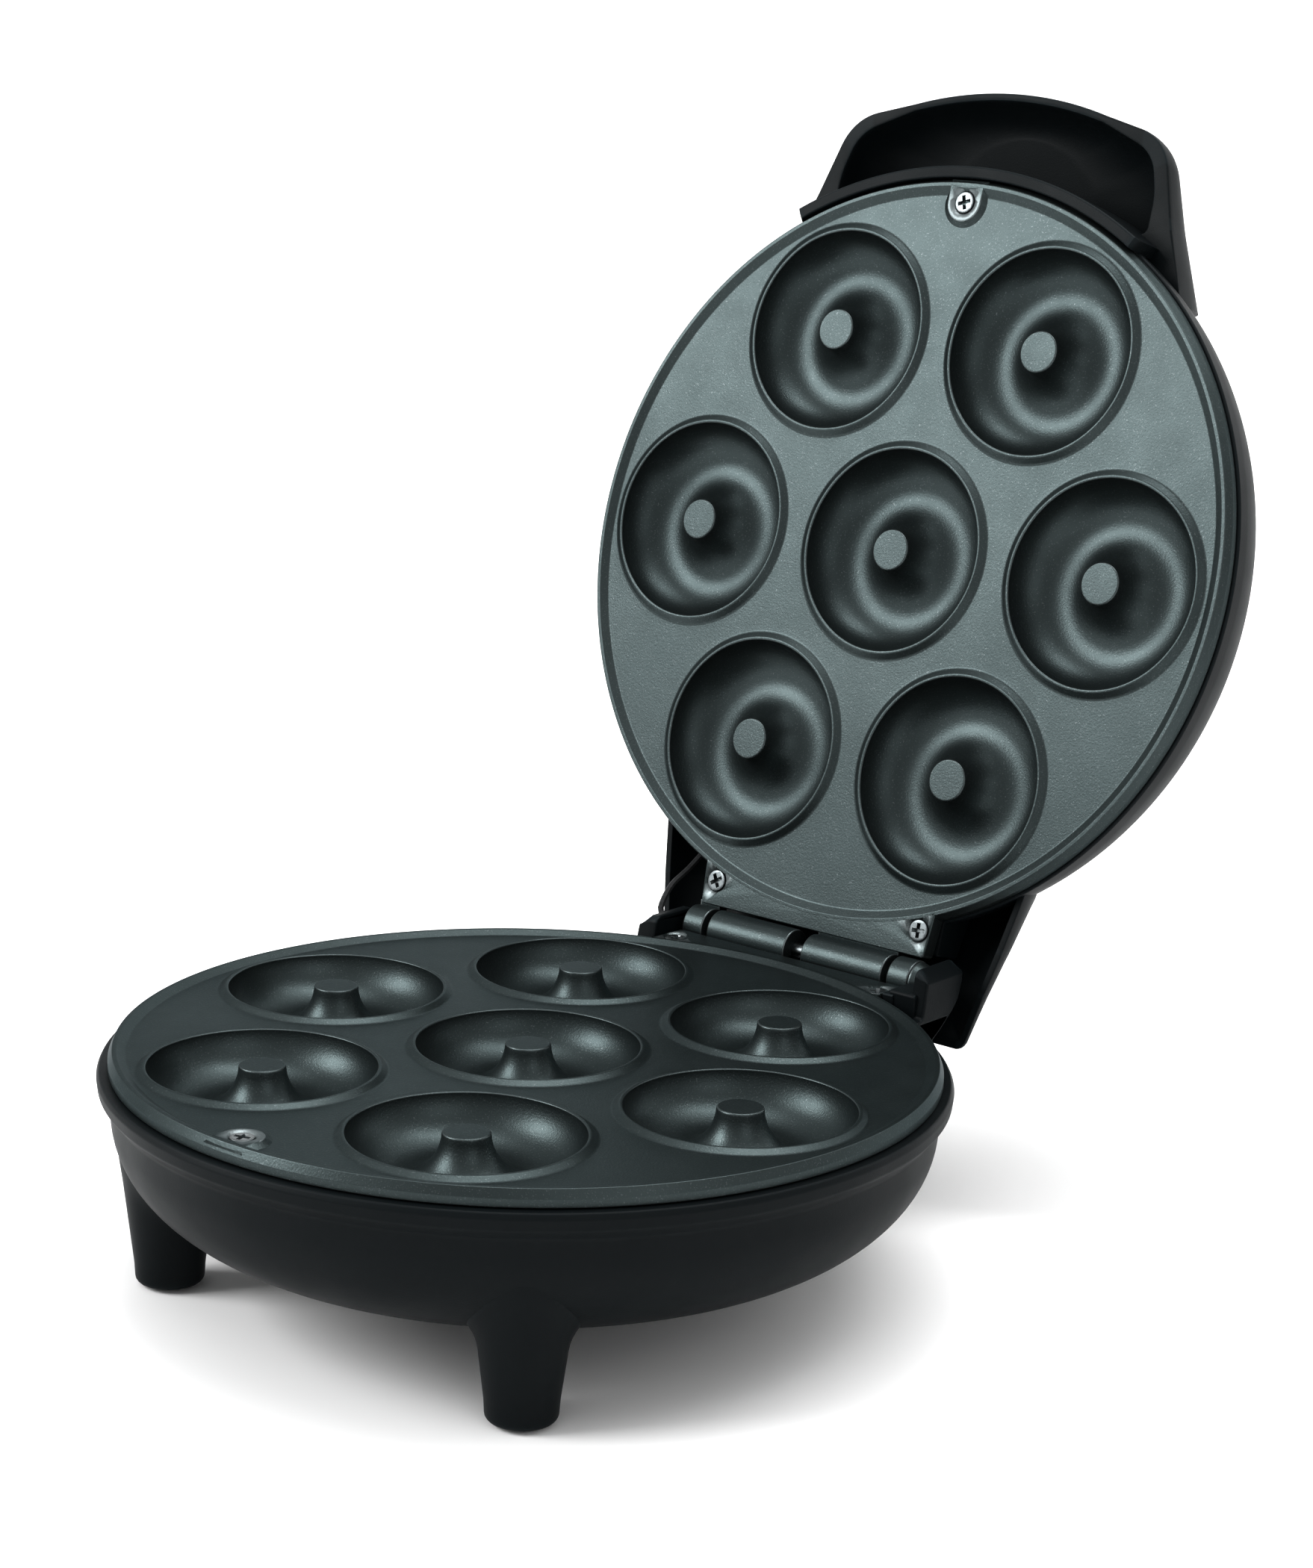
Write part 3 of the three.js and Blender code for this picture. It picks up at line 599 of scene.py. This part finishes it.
def raised_tab(outline, spots, draft, depth):
    """A flat-topped tab with rounded top edges, drafted sides and countersunk screw holes."""
    edge = 0.35
    partway = edge * 0.3
    holes = [circle(spot, SCREW_HOLE_RADIUS, SCREW_SEGMENTS) for spot in spots]
    top = flat(inset(outline, edge), holes, 0)
    sides = [
        ring_at(inset(outline, edge), 0),
        ring_at(inset(outline, partway), -partway),
        ring_at(outline, -edge),
        ring_at(inset(outline, -draft), -depth),
    ]
    return joined(top, lofted(sides, False, False), *[countersink(spot) for spot in spots])


def front_tab():
    x, y = SCREWS["front"]
    half = 5.6
    front_y = -PLATE_RADIUS + 0.6
    outline = [(x - half, front_y), *arc((x, y), half, 180, 0, 24), (x + half, front_y)]
    return raised_tab(outline, [SCREWS["front"]], draft=1.7, depth=PLATE_RECESS + 0.1)


def rear_tab(right_end):
    """The tab behind the plate's round edge, which carries the knuckles, up to its right end."""
    half, corner_half, corner = 40.6, 39.6, 1.2
    side_y = 99
    crest = PLATE_RADIUS - 0.7
    spread = atan2(half, sqrt(crest ** 2 - half ** 2)) * 180 / pi
    front = arc((0, 0), crest, 90 + spread, 90 - spread, 40)
    rear = rounded([
        (half, side_y, 0),
        (corner_half, TAB_REAR_Y, corner),
        (-corner_half, TAB_REAR_Y, corner),
        (-half, side_y, 0),
    ])
    outline = [(min(x, right_end), y) for x, y in front + rear]
    return raised_tab(outline[:-1], [SCREWS["left"], SCREWS["right"]], draft=0.1, depth=PLATE_THICKNESS)


def knuckles(with_boss):
    """The hinge barrels on the plate's rear tab, with the arms that carry them."""
    spans = ((-31, -3), (33, 40))
    bevel = 0.5
    arm_front, arm_top = TAB_REAR_Y - 1, -0.6
    arm = rounded([
        (arm_front, -PLATE_THICKNESS, 0),
        (HINGE_Y, -PLATE_THICKNESS, 0),
        (HINGE_Y, arm_top, 0),
        (TAB_REAR_Y + 1.5, arm_top, 1.5),
        (arm_front, -0.1, 0),
    ], closed=True)
    shapes = []
    for low, high in spans:
        shapes.append(along_hinge(bar_x(KNUCKLE_RADIUS, low, high, bevel)))
        shapes.append(extruded_x(arm, low, high, bevel))
    if with_boss:
        boss_low, boss_high = 39.5, 47
        shapes.append(along_hinge(bar_x(KNUCKLE_RADIUS, boss_low, boss_high, 0.9, end_radius=3.2)))
    return shapes


def cooking_plate(with_boss):
    """A whole plate casting. The plate with the tapered end boss has a shorter tab beside it."""
    moulds = [shifted(mould(), x, y) for x, y in mould_spots()]
    tab_end = 39.1 if with_boss else 41
    return joined(plate_disc(), *moulds, front_tab(), rear_tab(tab_end), *knuckles(with_boss))


def plate_screw():
    """A countersunk screw head with a tapered cross recess."""
    face_radius, head_radius, shank_radius = 2.75, 3.05, 1.6
    top_z, cone_end, shank_end = -0.18, -2.2, -9
    arm, half = 2.1, 0.58
    recess_depth, taper = 1.5, 0.62
    cross = [
        (arm, -half), (arm, half), (half, half), (half, arm), (-half, arm), (-half, half),
        (-arm, half), (-arm, -half), (-half, -half), (-half, -arm), (half, -arm), (half, -half),
    ]
    deep = [(x * taper, y * taper) for x, y in cross]
    face = flat(circle((0, 0), face_radius, SCREW_SEGMENTS), [cross], top_z)
    recess = lofted([ring_at(deep, top_z - recess_depth), ring_at(cross, top_z)], True, False)
    side = rounded([
        (face_radius, top_z, 0),
        (head_radius, top_z - 0.08, 0.1),
        (3.0, top_z - 0.35, 0.1),
        (shank_radius, cone_end, 0),
        (shank_radius, shank_end, 0),
    ])
    return joined(face, recess, turned(side, SCREW_SEGMENTS))


def add_plates():
    sides = (("lower", "base", BASE, True), ("upper", "lid", LID @ TURNED_OVER, False))
    for side, body, matrix, with_boss in sides:
        name = f"{side}_plate"
        add_piece(f"{name}_cast", cooking_plate(with_boss), matrix, "non_stick", body, [name], 50)
        for place, (x, y) in SCREWS.items():
            node = f"{name}_screw_{place}"
            own_angle = 0.3 + x * 0.05
            screw = shifted(moved(plate_screw(), Matrix.Rotation(own_angle, 4, "Z")), x, y)
            add_piece(f"{node}_head", screw, matrix, "steel", body, [node], 30)


add_plates()


# ---------------------------------------------------------------- base casing

def bowl():
    """The casing's round wall: a quarter ellipse from the flat underside, then a collar round the plate."""
    angles = [t * pi / 48 for t in range(25)]
    curve = [(BOWL_CENTRE_R + BOWL_REACH * sin(a), BOWL_CENTRE_Z - BOWL_RISE * cos(a)) for a in angles]
    collar = rounded([
        curve[-1] + (0,),
        (106.9, -12.2, 2.5),
        (COLLAR_RADIUS - 0.35, -9.2, 1.4),
        (COLLAR_RADIUS, -6.3, 1.2),
        (COLLAR_RADIUS - 0.7, COLLAR_TOP, 0.9),
        (FLANGE_RADIUS - 3, COLLAR_TOP, 0),
    ])
    inner = [(104.4, COLLAR_TOP), (104, -10), (104, -16), (100, -28), (86, -40), (64, -44), (0, -44)]
    return turned([(0, -BOWL_DEPTH), *curve, *collar[1:], *inner], ROUND_SEGMENTS)


def bowl_distance(x, y, z):
    """About how far a point lies outside the bowl's quarter-ellipse wall."""
    u = max(0, sqrt(x * x + y * y) - BOWL_CENTRE_R) / BOWL_REACH
    v = min(0, z - BOWL_CENTRE_Z) / BOWL_RISE
    steepness = 2 * sqrt((u / BOWL_REACH) ** 2 + (v / BOWL_RISE) ** 2)
    return (u * u + v * v - 1) / max(steepness, 1e-3)


def leg_profile():
    """A leg from the socket in its foot, round its edge and up its widening shaft to its flat top."""
    foot = FLOOR_Z + 0.6
    socket_radius, foot_radius, ankle_radius = 6, 8.8, 9.1
    shaft_radius, widening, top_radius = 9.2, 4.5, 12.4
    length = LEG_SHAFT_TOP - LEG_SHAFT_LOW
    steps = 24
    profile = rounded([
        (socket_radius, foot + 1.1, 0),
        (socket_radius, foot, 0.3),
        (foot_radius, foot, 1.9),
        (ankle_radius, foot + 5, 8),
    ])
    for t in range(steps + 1):
        profile.append((shaft_radius + widening * t / steps, LEG_SHAFT_LOW + length * t / steps))
    return profile + [(top_radius, LEG_TOP), (0, LEG_TOP)]


def leg(spot):
    """A tapered round leg that flares where it meets the bowl. Its top stays inside the wall."""
    fillet, flare, outer_relief = 5, 0.17, 0.85
    fade_length = 8
    wall_radius, wall_spread = 106.2, 0.15
    verts, faces = shifted(turned(leg_profile(), LEG_SEGMENTS), *spot)
    flared = []
    for x, y, z in verts:
        closeness = 1 - min(max(bowl_distance(x, y, z), 0), fillet) / fillet
        away = Vector((x - spot[0], y - spot[1]))
        if z < LEG_SHAFT_LOW + 1 or away.length < 1:
            closeness = 0
        outward = max(0, away.normalized() @ Vector(spot).normalized()) if away.length > 1 else 0
        below_top = min(max((LEG_SHAFT_TOP - z) / fade_length, 0), 1)
        grown = away * (1 + closeness ** 2 * flare * (1 - outer_relief * outward) * below_top)
        x, y = spot[0] + grown.x, spot[1] + grown.y
        wall = wall_radius + wall_spread * max(LEG_TOP - z, 0)
        pull = min(1, wall / max(sqrt(x * x + y * y), 1))
        flared.append((x * pull, y * pull, z))
    return flared, faces


def ear(outer, inner, top, chamfer):
    """One hinge ear, with rounded edges and its outer top corner cut off at a slant."""
    side = 1 if outer > inner else -1
    front_y, rear_y = 90, 120.2
    outline = rounded([
        *BLOCK_UNDERSIDE, (116.1, -5.3, 3), (118.6, -2.4, 3), (rear_y, 2.8, 2), (rear_y, top, 2.2),
        (103.4, top, 2.5), (101.7, COLLAR_TOP, 1), (front_y, COLLAR_TOP, 0),
    ], closed=True)
    rings = []
    # Each ring's distance in from its face, then its inset, then how far the slant cuts down the top
    for depth, edge, cut in (
        (0, 0.8, chamfer), (0.25, 0.25, chamfer - 0.3), (0.8, 0, chamfer - 0.9), (chamfer, 0, 0.15),
    ):
        rings.append([(outer - side * depth, y, min(z, top - cut)) for y, z in inset(outline, edge)])
    for depth, edge in ((0.8, 0), (0.25, 0.25), (0, 0.8)):
        rings.append([(inner + side * depth, y, z) for y, z in inset(outline, edge)])
    return lofted(rings)


def guard(front, rear, top, corner, low, high, bevel):
    """A low wall on the hinge block, between the bowl's collar and the lower plate's end boss."""
    outline = rounded([
        (front, -18, 0), (rear, -14, 1), (rear, top, corner), (front, top, corner),
    ], closed=True)
    return extruded_x(outline, low, high, bevel)


def hinge_block():
    """The block behind the bowl with its two ears, between which the plates' knuckles turn."""
    top = -5.2
    outline = rounded([*BLOCK_UNDERSIDE, (114, -7, 2), (114, top, 0.8), (90, top, 0)], closed=True)
    return joined(
        ear(**LEFT_EAR),
        ear(**RIGHT_EAR),
        guard(front=101, rear=110.6, top=1.8, corner=1, low=41.3, high=RIGHT_EAR["inner"] + 2, bevel=0.6),
        guard(front=100.4, rear=109.8, top=0.6, corner=0.6, low=39.5, high=43, bevel=0.3),
        extruded_x(outline, LEFT_EAR["outer"], RIGHT_EAR["outer"], 0.8),
    )


def gland():
    """The supply lead's grommet: a ribbed rubber bush with a flange, its bore empty."""
    bore, shank, flange = 3.4, 5.6, 8
    lead_x, lead_z = -24, -27
    profile = rounded([
        (bore, 88, 0), (shank, 88, 0.4), (shank, 104.4, 0.2), (flange, 104.4, 0.6), (7.8, 106.0, 0.5),
        (6.6, 106.3, 0.3), (6.4, 107.4, 0.5), (bore, 107.4, 0.6), (bore, 88.2, 0),
    ])
    rearward = Matrix.Translation((lead_x, 0, lead_z)) @ Matrix.Rotation(-pi / 2, 4, "X")
    return moved(turned(profile, SMALL_SEGMENTS), rearward)


def foot_pad(spot):
    """A rubber pad with a rounded edge and two shallow grip rings."""
    low = FLOOR_Z
    top = low + 1.4
    profile = rounded([
        (0, low + 0.4, 0), (2.2, low + 0.4, 0.1), (2.6, low, 0.15), (3.4, low, 0.15),
        (3.7, low + 0.3, 0.1), (4.1, low, 0.15), (5.2, low, 0.25), (5.5, top, 0), (0, top, 0),
    ], steps=3)
    return shifted(turned(profile, SMALL_SEGMENTS), *spot)


def add_base():
    pin_radius, pin_low, pin_high = 2, -41.5, 44.4
    shell = joined(bowl(), hinge_block(), *[leg(spot) for spot in LEGS])
    add_piece("base_shell", shell, BASE, "black_plastic", "base", ["base_casing"])
    add_piece("supply_grommet", gland(), BASE, "rubber", "base", ["cord_gland"])
    for i, spot in enumerate(LEGS, start=1):
        add_piece(f"grip_pad_{i}", foot_pad(spot), BASE, "rubber", "base", [f"foot_pad_{i}"])
    pin = along_hinge(bar_x(pin_radius, pin_low, pin_high, 0.3))
    add_piece("hinge_bar", pin, BASE, "steel", "base", ["hinge_pin"])


add_base()


# ---------------------------------------------------------------- lid casing

def dome():
    """The lid's round shell, with its rolled rim round the plate and its wall thickness."""
    steps, first = 48, 4
    inner_rim = 104
    shoulder = []
    for i in range(first, steps + 1):
        angle = pi / 2 * i / steps
        shoulder.append((DOME_CENTRE_R + DOME_REACH * cos(angle), DOME_CENTRE_Z + DOME_RISE * sin(angle)))
    crown = [
        (DOME_CENTRE_R * t, DOME_HEIGHT + DOME_CROWN * (1 - t * t)) for t in (0.8, 0.6, 0.4, 0.2, 0)
    ]
    rim = rounded([(inner_rim, DOME_RIM_Z, 0), (107.9, DOME_RIM_Z, 0.7), shoulder[1] + (0,)])
    inner = [(0, 45.4), (62, 44), (86, 36), (98, 24), (103, 12), (inner_rim, DOME_RIM_Z)]
    return turned([*rim, *shoulder[2:], *crown, *inner], ROUND_SEGMENTS)


def skirt_plan():
    """The skirt's plan: the dome's wall in front, sides that draw in rearward and a straight rear."""
    join_x, join_y = 64.5, 80
    right = [(join_x, join_y, 0), (63.5, 87, 30), (60.2, 104, 60), (57.2, 117, 60), (54, SKIRT_REAR_Y, 3)]
    left = [(-x, y, radius) for x, y, radius in right[::-1]]
    to_join = degrees(atan2(join_y, join_x))
    wall = arc((0, 0), sqrt(join_x ** 2 + join_y ** 2), 180 - to_join, to_join, 24)
    return rounded(right + left, steps=7) + wall[1:-1]


def skirt_arch(plan, angle, drop, rise):
    """One ring of the skirt's arch: its sides lean in, and its top falls to a low rear edge."""
    slope_y, height_in_front, fall = 88, 24, 15
    side_lean, rear_lean = 0.45, 16
    lean = 1 - cos(angle)
    points = []
    for x, y in plan:
        rearward = min(max((y - slope_y) / (SKIRT_REAR_Y - slope_y), 0), 1)
        height = height_in_front - fall * rearward - drop
        z = SKIRT_RIM_Z + rise + height * sin(angle)
        points.append((x * (1 - side_lean * lean), y - rear_lean * rearward * lean, z))
    return points


def skirt():
    """A thin hood behind the dome that covers the hinge: outer wall, rounded rim and hollow."""
    plan = skirt_plan()
    wall, edge, partway = 2, 0.35, 0.1
    inner_plan = inset(plan, wall)
    angles = [radians(90) * k / 16 for k in range(17)]
    outer = [skirt_arch(inset(plan, d), 0, 0, rise) for d, rise in ((edge, 0), (partway, partway))]
    outer += [skirt_arch(plan, angle, 0, edge * (1 - sin(angle))) for angle in angles]
    inner = [
        skirt_arch(inset(plan, wall + d), 0, wall, rise) for d, rise in ((-edge, 0), (-partway, partway))
    ]
    inner += [skirt_arch(inner_plan, angle, wall, edge * (1 - sin(angle))) for angle in angles]
    rim = lofted([inner[0], outer[0]], False, False)
    return joined(lofted(outer, False, True), lofted(inner, False, True), rim)


def skirt_ledge():
    """The stepped ledge inside the skirt that the upper plate's rear tab is screwed to."""
    half, front_y, rear_y = 41, 96, 109.2
    outline = rounded([
        (front_y, DOME_RIM_Z, 0), (rear_y, DOME_RIM_Z, 0.6), (rear_y, 15, 1), (front_y, 18, 0),
    ], closed=True)
    return extruded_x(outline, -half, half, 0.6)


def lens_cap():
    """A small domed indicator lens with a stepped bezel."""
    stem_radius, bezel_z = 3.3, 0.3
    profile = rounded([
        (stem_radius, -3, 0), (stem_radius, bezel_z, 0), (5, bezel_z, 0.1), (4.75, 1.1, 0.3),
        (3.9, 1.25, 0.3), (2.6, 1.75, 1.5), (0, 2, 0),
    ])
    return turned(profile, BAR_SEGMENTS)


def add_lid():
    shell = joined(dome(), skirt(), skirt_ledge())
    add_piece("lid_shell", shell, LID, "black_plastic", "lid", ["lid_casing"])
    lamp_y = 52
    seat_z = DOME_HEIGHT + DOME_CROWN * (1 - lamp_y / DOME_CENTRE_R)
    for use, x, slot in (("power", -12, "red_lens"), ("ready", 12, "green_lens")):
        cap = shifted(lens_cap(), x, lamp_y, seat_z)
        add_piece(f"{use}_light_cap", cap, LID, slot, "lid", [f"{use}_lens"])


add_lid()


# ---------------------------------------------------------------- handle

def handle_plan():
    """The handle's plan: an arc across the front, rounded corners, and sides that spread rearward."""
    half_sweep = 17.6
    centre_y = HANDLE_FRONT_Y + HANDLE_ARC_RADIUS
    front = arc((0, centre_y), HANDLE_ARC_RADIUS, -90, -90 + half_sweep, 12)
    corner = rounded([front[-2] + (0,), (53.6, -125.2, 15), (60.8, -101.5, 60), (69, -80, 0)], steps=9)
    right = front[:-2] + corner
    left = [(-x, y) for x, y in right[:0:-1]]
    return left + right


def handle_top(y):
    """The height of the handle's crown, which falls gently towards the front."""
    slope = 0.2
    return HANDLE_TOP_Z + (y - HANDLE_BEND_Y) * slope


def handle_arch(plan, angle, depth, rise):
    """One ring of the handle's arch over a plan. Its crown lies a given depth under the handle's top."""
    side_lean, front_lean, front_length = 0.55, 8, 30
    lean = 1 - cos(angle)
    points = []
    for x, y in plan:
        forward = min(max((HANDLE_BEND_Y - y) / front_length, 0), 1)
        z = HANDLE_RIM_Z + rise + sin(angle) * (handle_top(y) - depth - HANDLE_RIM_Z)
        points.append((x * (1 - side_lean * lean ** 1.5), y + front_lean * forward * lean, z))
    return points


def handle_outer(plan):
    """Outer rings from the rounded rim edge over the arch."""
    edge = 0.5
    rings = [handle_arch(inset(plan, d), 0, 0, rise) for d, rise in ((0.6, 0), (0.18, 0.15))]
    angles = [radians(90) * k / 24 for k in range(25)]
    return rings + [handle_arch(plan, angle, 0, edge * (1 - sin(angle))) for angle in angles]


def pocket_plan():
    """The finger pocket's opening: inside the front wall, then back to the lip on both sides."""
    side_x, front_half, front_rear_y = 53.6, 40, -110
    corner_start = (50.2, -120.8, 12)
    inner_wall = inset(handle_plan(), HANDLE_WALL)
    front = [(x, y) for x, y in inner_wall if abs(x) < front_half and y < front_rear_y]
    to_side = degrees(acos(side_x / LIP_RADIUS))
    lip = arc((0, 0), LIP_RADIUS - 0.3, -to_side, to_side - 180, 30)
    corner_right = rounded([
        front[-1] + (0,), corner_start, (side_x, -109, 20), (side_x, lip[0][1] + 1, 2), lip[1] + (0,),
    ], steps=6)
    corner_left = [(-x, y) for x, y in corner_right[::-1]]
    return front + corner_right[1:-1] + lip[1:-1] + corner_left[1:-1]


def pocket_rings(plan):
    """Pocket walls from the rounded rim edge up to the roof."""
    roof, edge = 2.6, 0.6
    rings = [handle_arch(inset(plan, d), 0, roof, rise) for d, rise in ((-0.7, 0), (-0.2, 0.2))]
    angles = [radians(90) * k / 20 for k in range(21)]
    return rings + [handle_arch(plan, angle, roof, edge * (1 - sin(angle))) for angle in angles]


def front_lip():
    """The curved lip that stands in front of both plates, with rounded ends and edges."""
    low, high = 0.3, HANDLE_RIM_Z + 6
    inner, outer = FLANGE_RADIUS + 0.4, LIP_RADIUS
    steps, end_round, edge_height, edge_share = 48, 2.2, 3, 0.2
    section = rounded([
        (inner, low, 0.5), (outer, low, 0.8), (outer, high, 0), (inner, high, 0),
    ], closed=True, steps=4)
    rings = []
    for i in range(-steps, steps + 1):
        angle = radians(LIP_HALF_ANGLE) * i / steps
        from_end = (radians(LIP_HALF_ANGLE) - abs(angle)) * outer
        drop = end_round * (1 - sqrt(max(0, 1 - (1 - min(from_end, end_round) / end_round) ** 2)))
        ring = []
        for r, z in section:
            raised = max(z, low + drop + (z - low) * edge_share) if z < low + edge_height else z
            ring.append((r * sin(angle), -r * cos(angle), raised))
        rings.append(ring)
    return lofted(rings)


def handle():
    plan = handle_plan()
    outer = handle_outer(plan)
    pocket = pocket_rings(pocket_plan())
    rim_hole = [(x, y) for x, y, _ in pocket[0]]
    rim_edge = [(x, y) for x, y, _ in outer[0]]
    rim = flat(rim_edge, [rim_hole], HANDLE_RIM_Z)
    return joined(lofted(outer, False, True), lofted(pocket, False, True), rim, front_lip())


add_piece("handle_hood", handle(), LID, "black_plastic", "lid", ["handle"])


# ---------------------------------------------------------------- studio

def add_sweep():
    """A pale floor that curves up into a backdrop."""
    width, front, back, height, bend = 7.0, -3.5, 2.6, 4.0, 1.2
    below_feet = 0.0002
    profile = [(front, 0), *arc((back - bend, bend), bend, -90, 0, 16), (back, height)]
    verts = [(x, y, z) for y, z in profile for x in (-width, width)]
    faces = [(2 * i, 2 * i + 1, 2 * i + 3, 2 * i + 2) for i in range(len(profile) - 1)]
    mesh = bpy.data.meshes.new("studio_sweep")
    mesh.from_pydata(verts, [], faces)
    mesh.shade_smooth()
    sweep = bpy.data.objects.new("studio_sweep", mesh)
    sweep.location.z = -below_feet
    bpy.context.scene.collection.objects.link(sweep)
    material, nodes, links, shader = new_material("studio_paper")
    shader.inputs["Roughness"].default_value = 0.9
    mottle = add_patches(nodes, links, scale=3, detail=3)
    paper = add_mix(nodes, links, mottle, (0.90, 0.90, 0.90), (0.93, 0.93, 0.93))
    links.new(paper, shader.inputs["Base Color"])
    mesh.materials.append(material)


def add_light(name, place, target, size, power):
    """A rectangular softbox at a place, turned to a target."""
    data = bpy.data.lights.new(name, "AREA")
    data.shape = "RECTANGLE"
    data.size, data.size_y = size
    data.energy = power
    light = bpy.data.objects.new(name, data)
    light.location = place
    light.rotation_euler = (Vector(target) - Vector(place)).to_track_quat("-Z", "Y").to_euler()
    bpy.context.scene.collection.objects.link(light)


def add_studio():
    add_sweep()
    middle = (0, 0, 0.15)
    add_light("key_softbox", (-1.3, -1.5, 1.3), middle, (1.2, 1.2), 50)
    add_light("top_softbox", (0.0, 0.2, 1.9), middle, (1.6, 1.6), 14)
    add_light("fill_softbox", (1.8, -0.8, 0.9), middle, (1.2, 1.2), 5)
    add_light("backdrop_softbox", (0.6, 0.6, 3.2), (-0.6, 2.6, 1.4), (3.0, 1.0), 90)
    world = bpy.data.worlds.new("studio")
    world.use_nodes = True
    background = world.node_tree.nodes["Background"]
    background.inputs["Color"].default_value = (1, 1, 1, 1)
    background.inputs["Strength"].default_value = 0.8
    bpy.context.scene.world = world


add_studio()
bpy.context.scene.view_settings.view_transform = "Standard"
bpy.context.scene.view_settings.gamma = 0.8
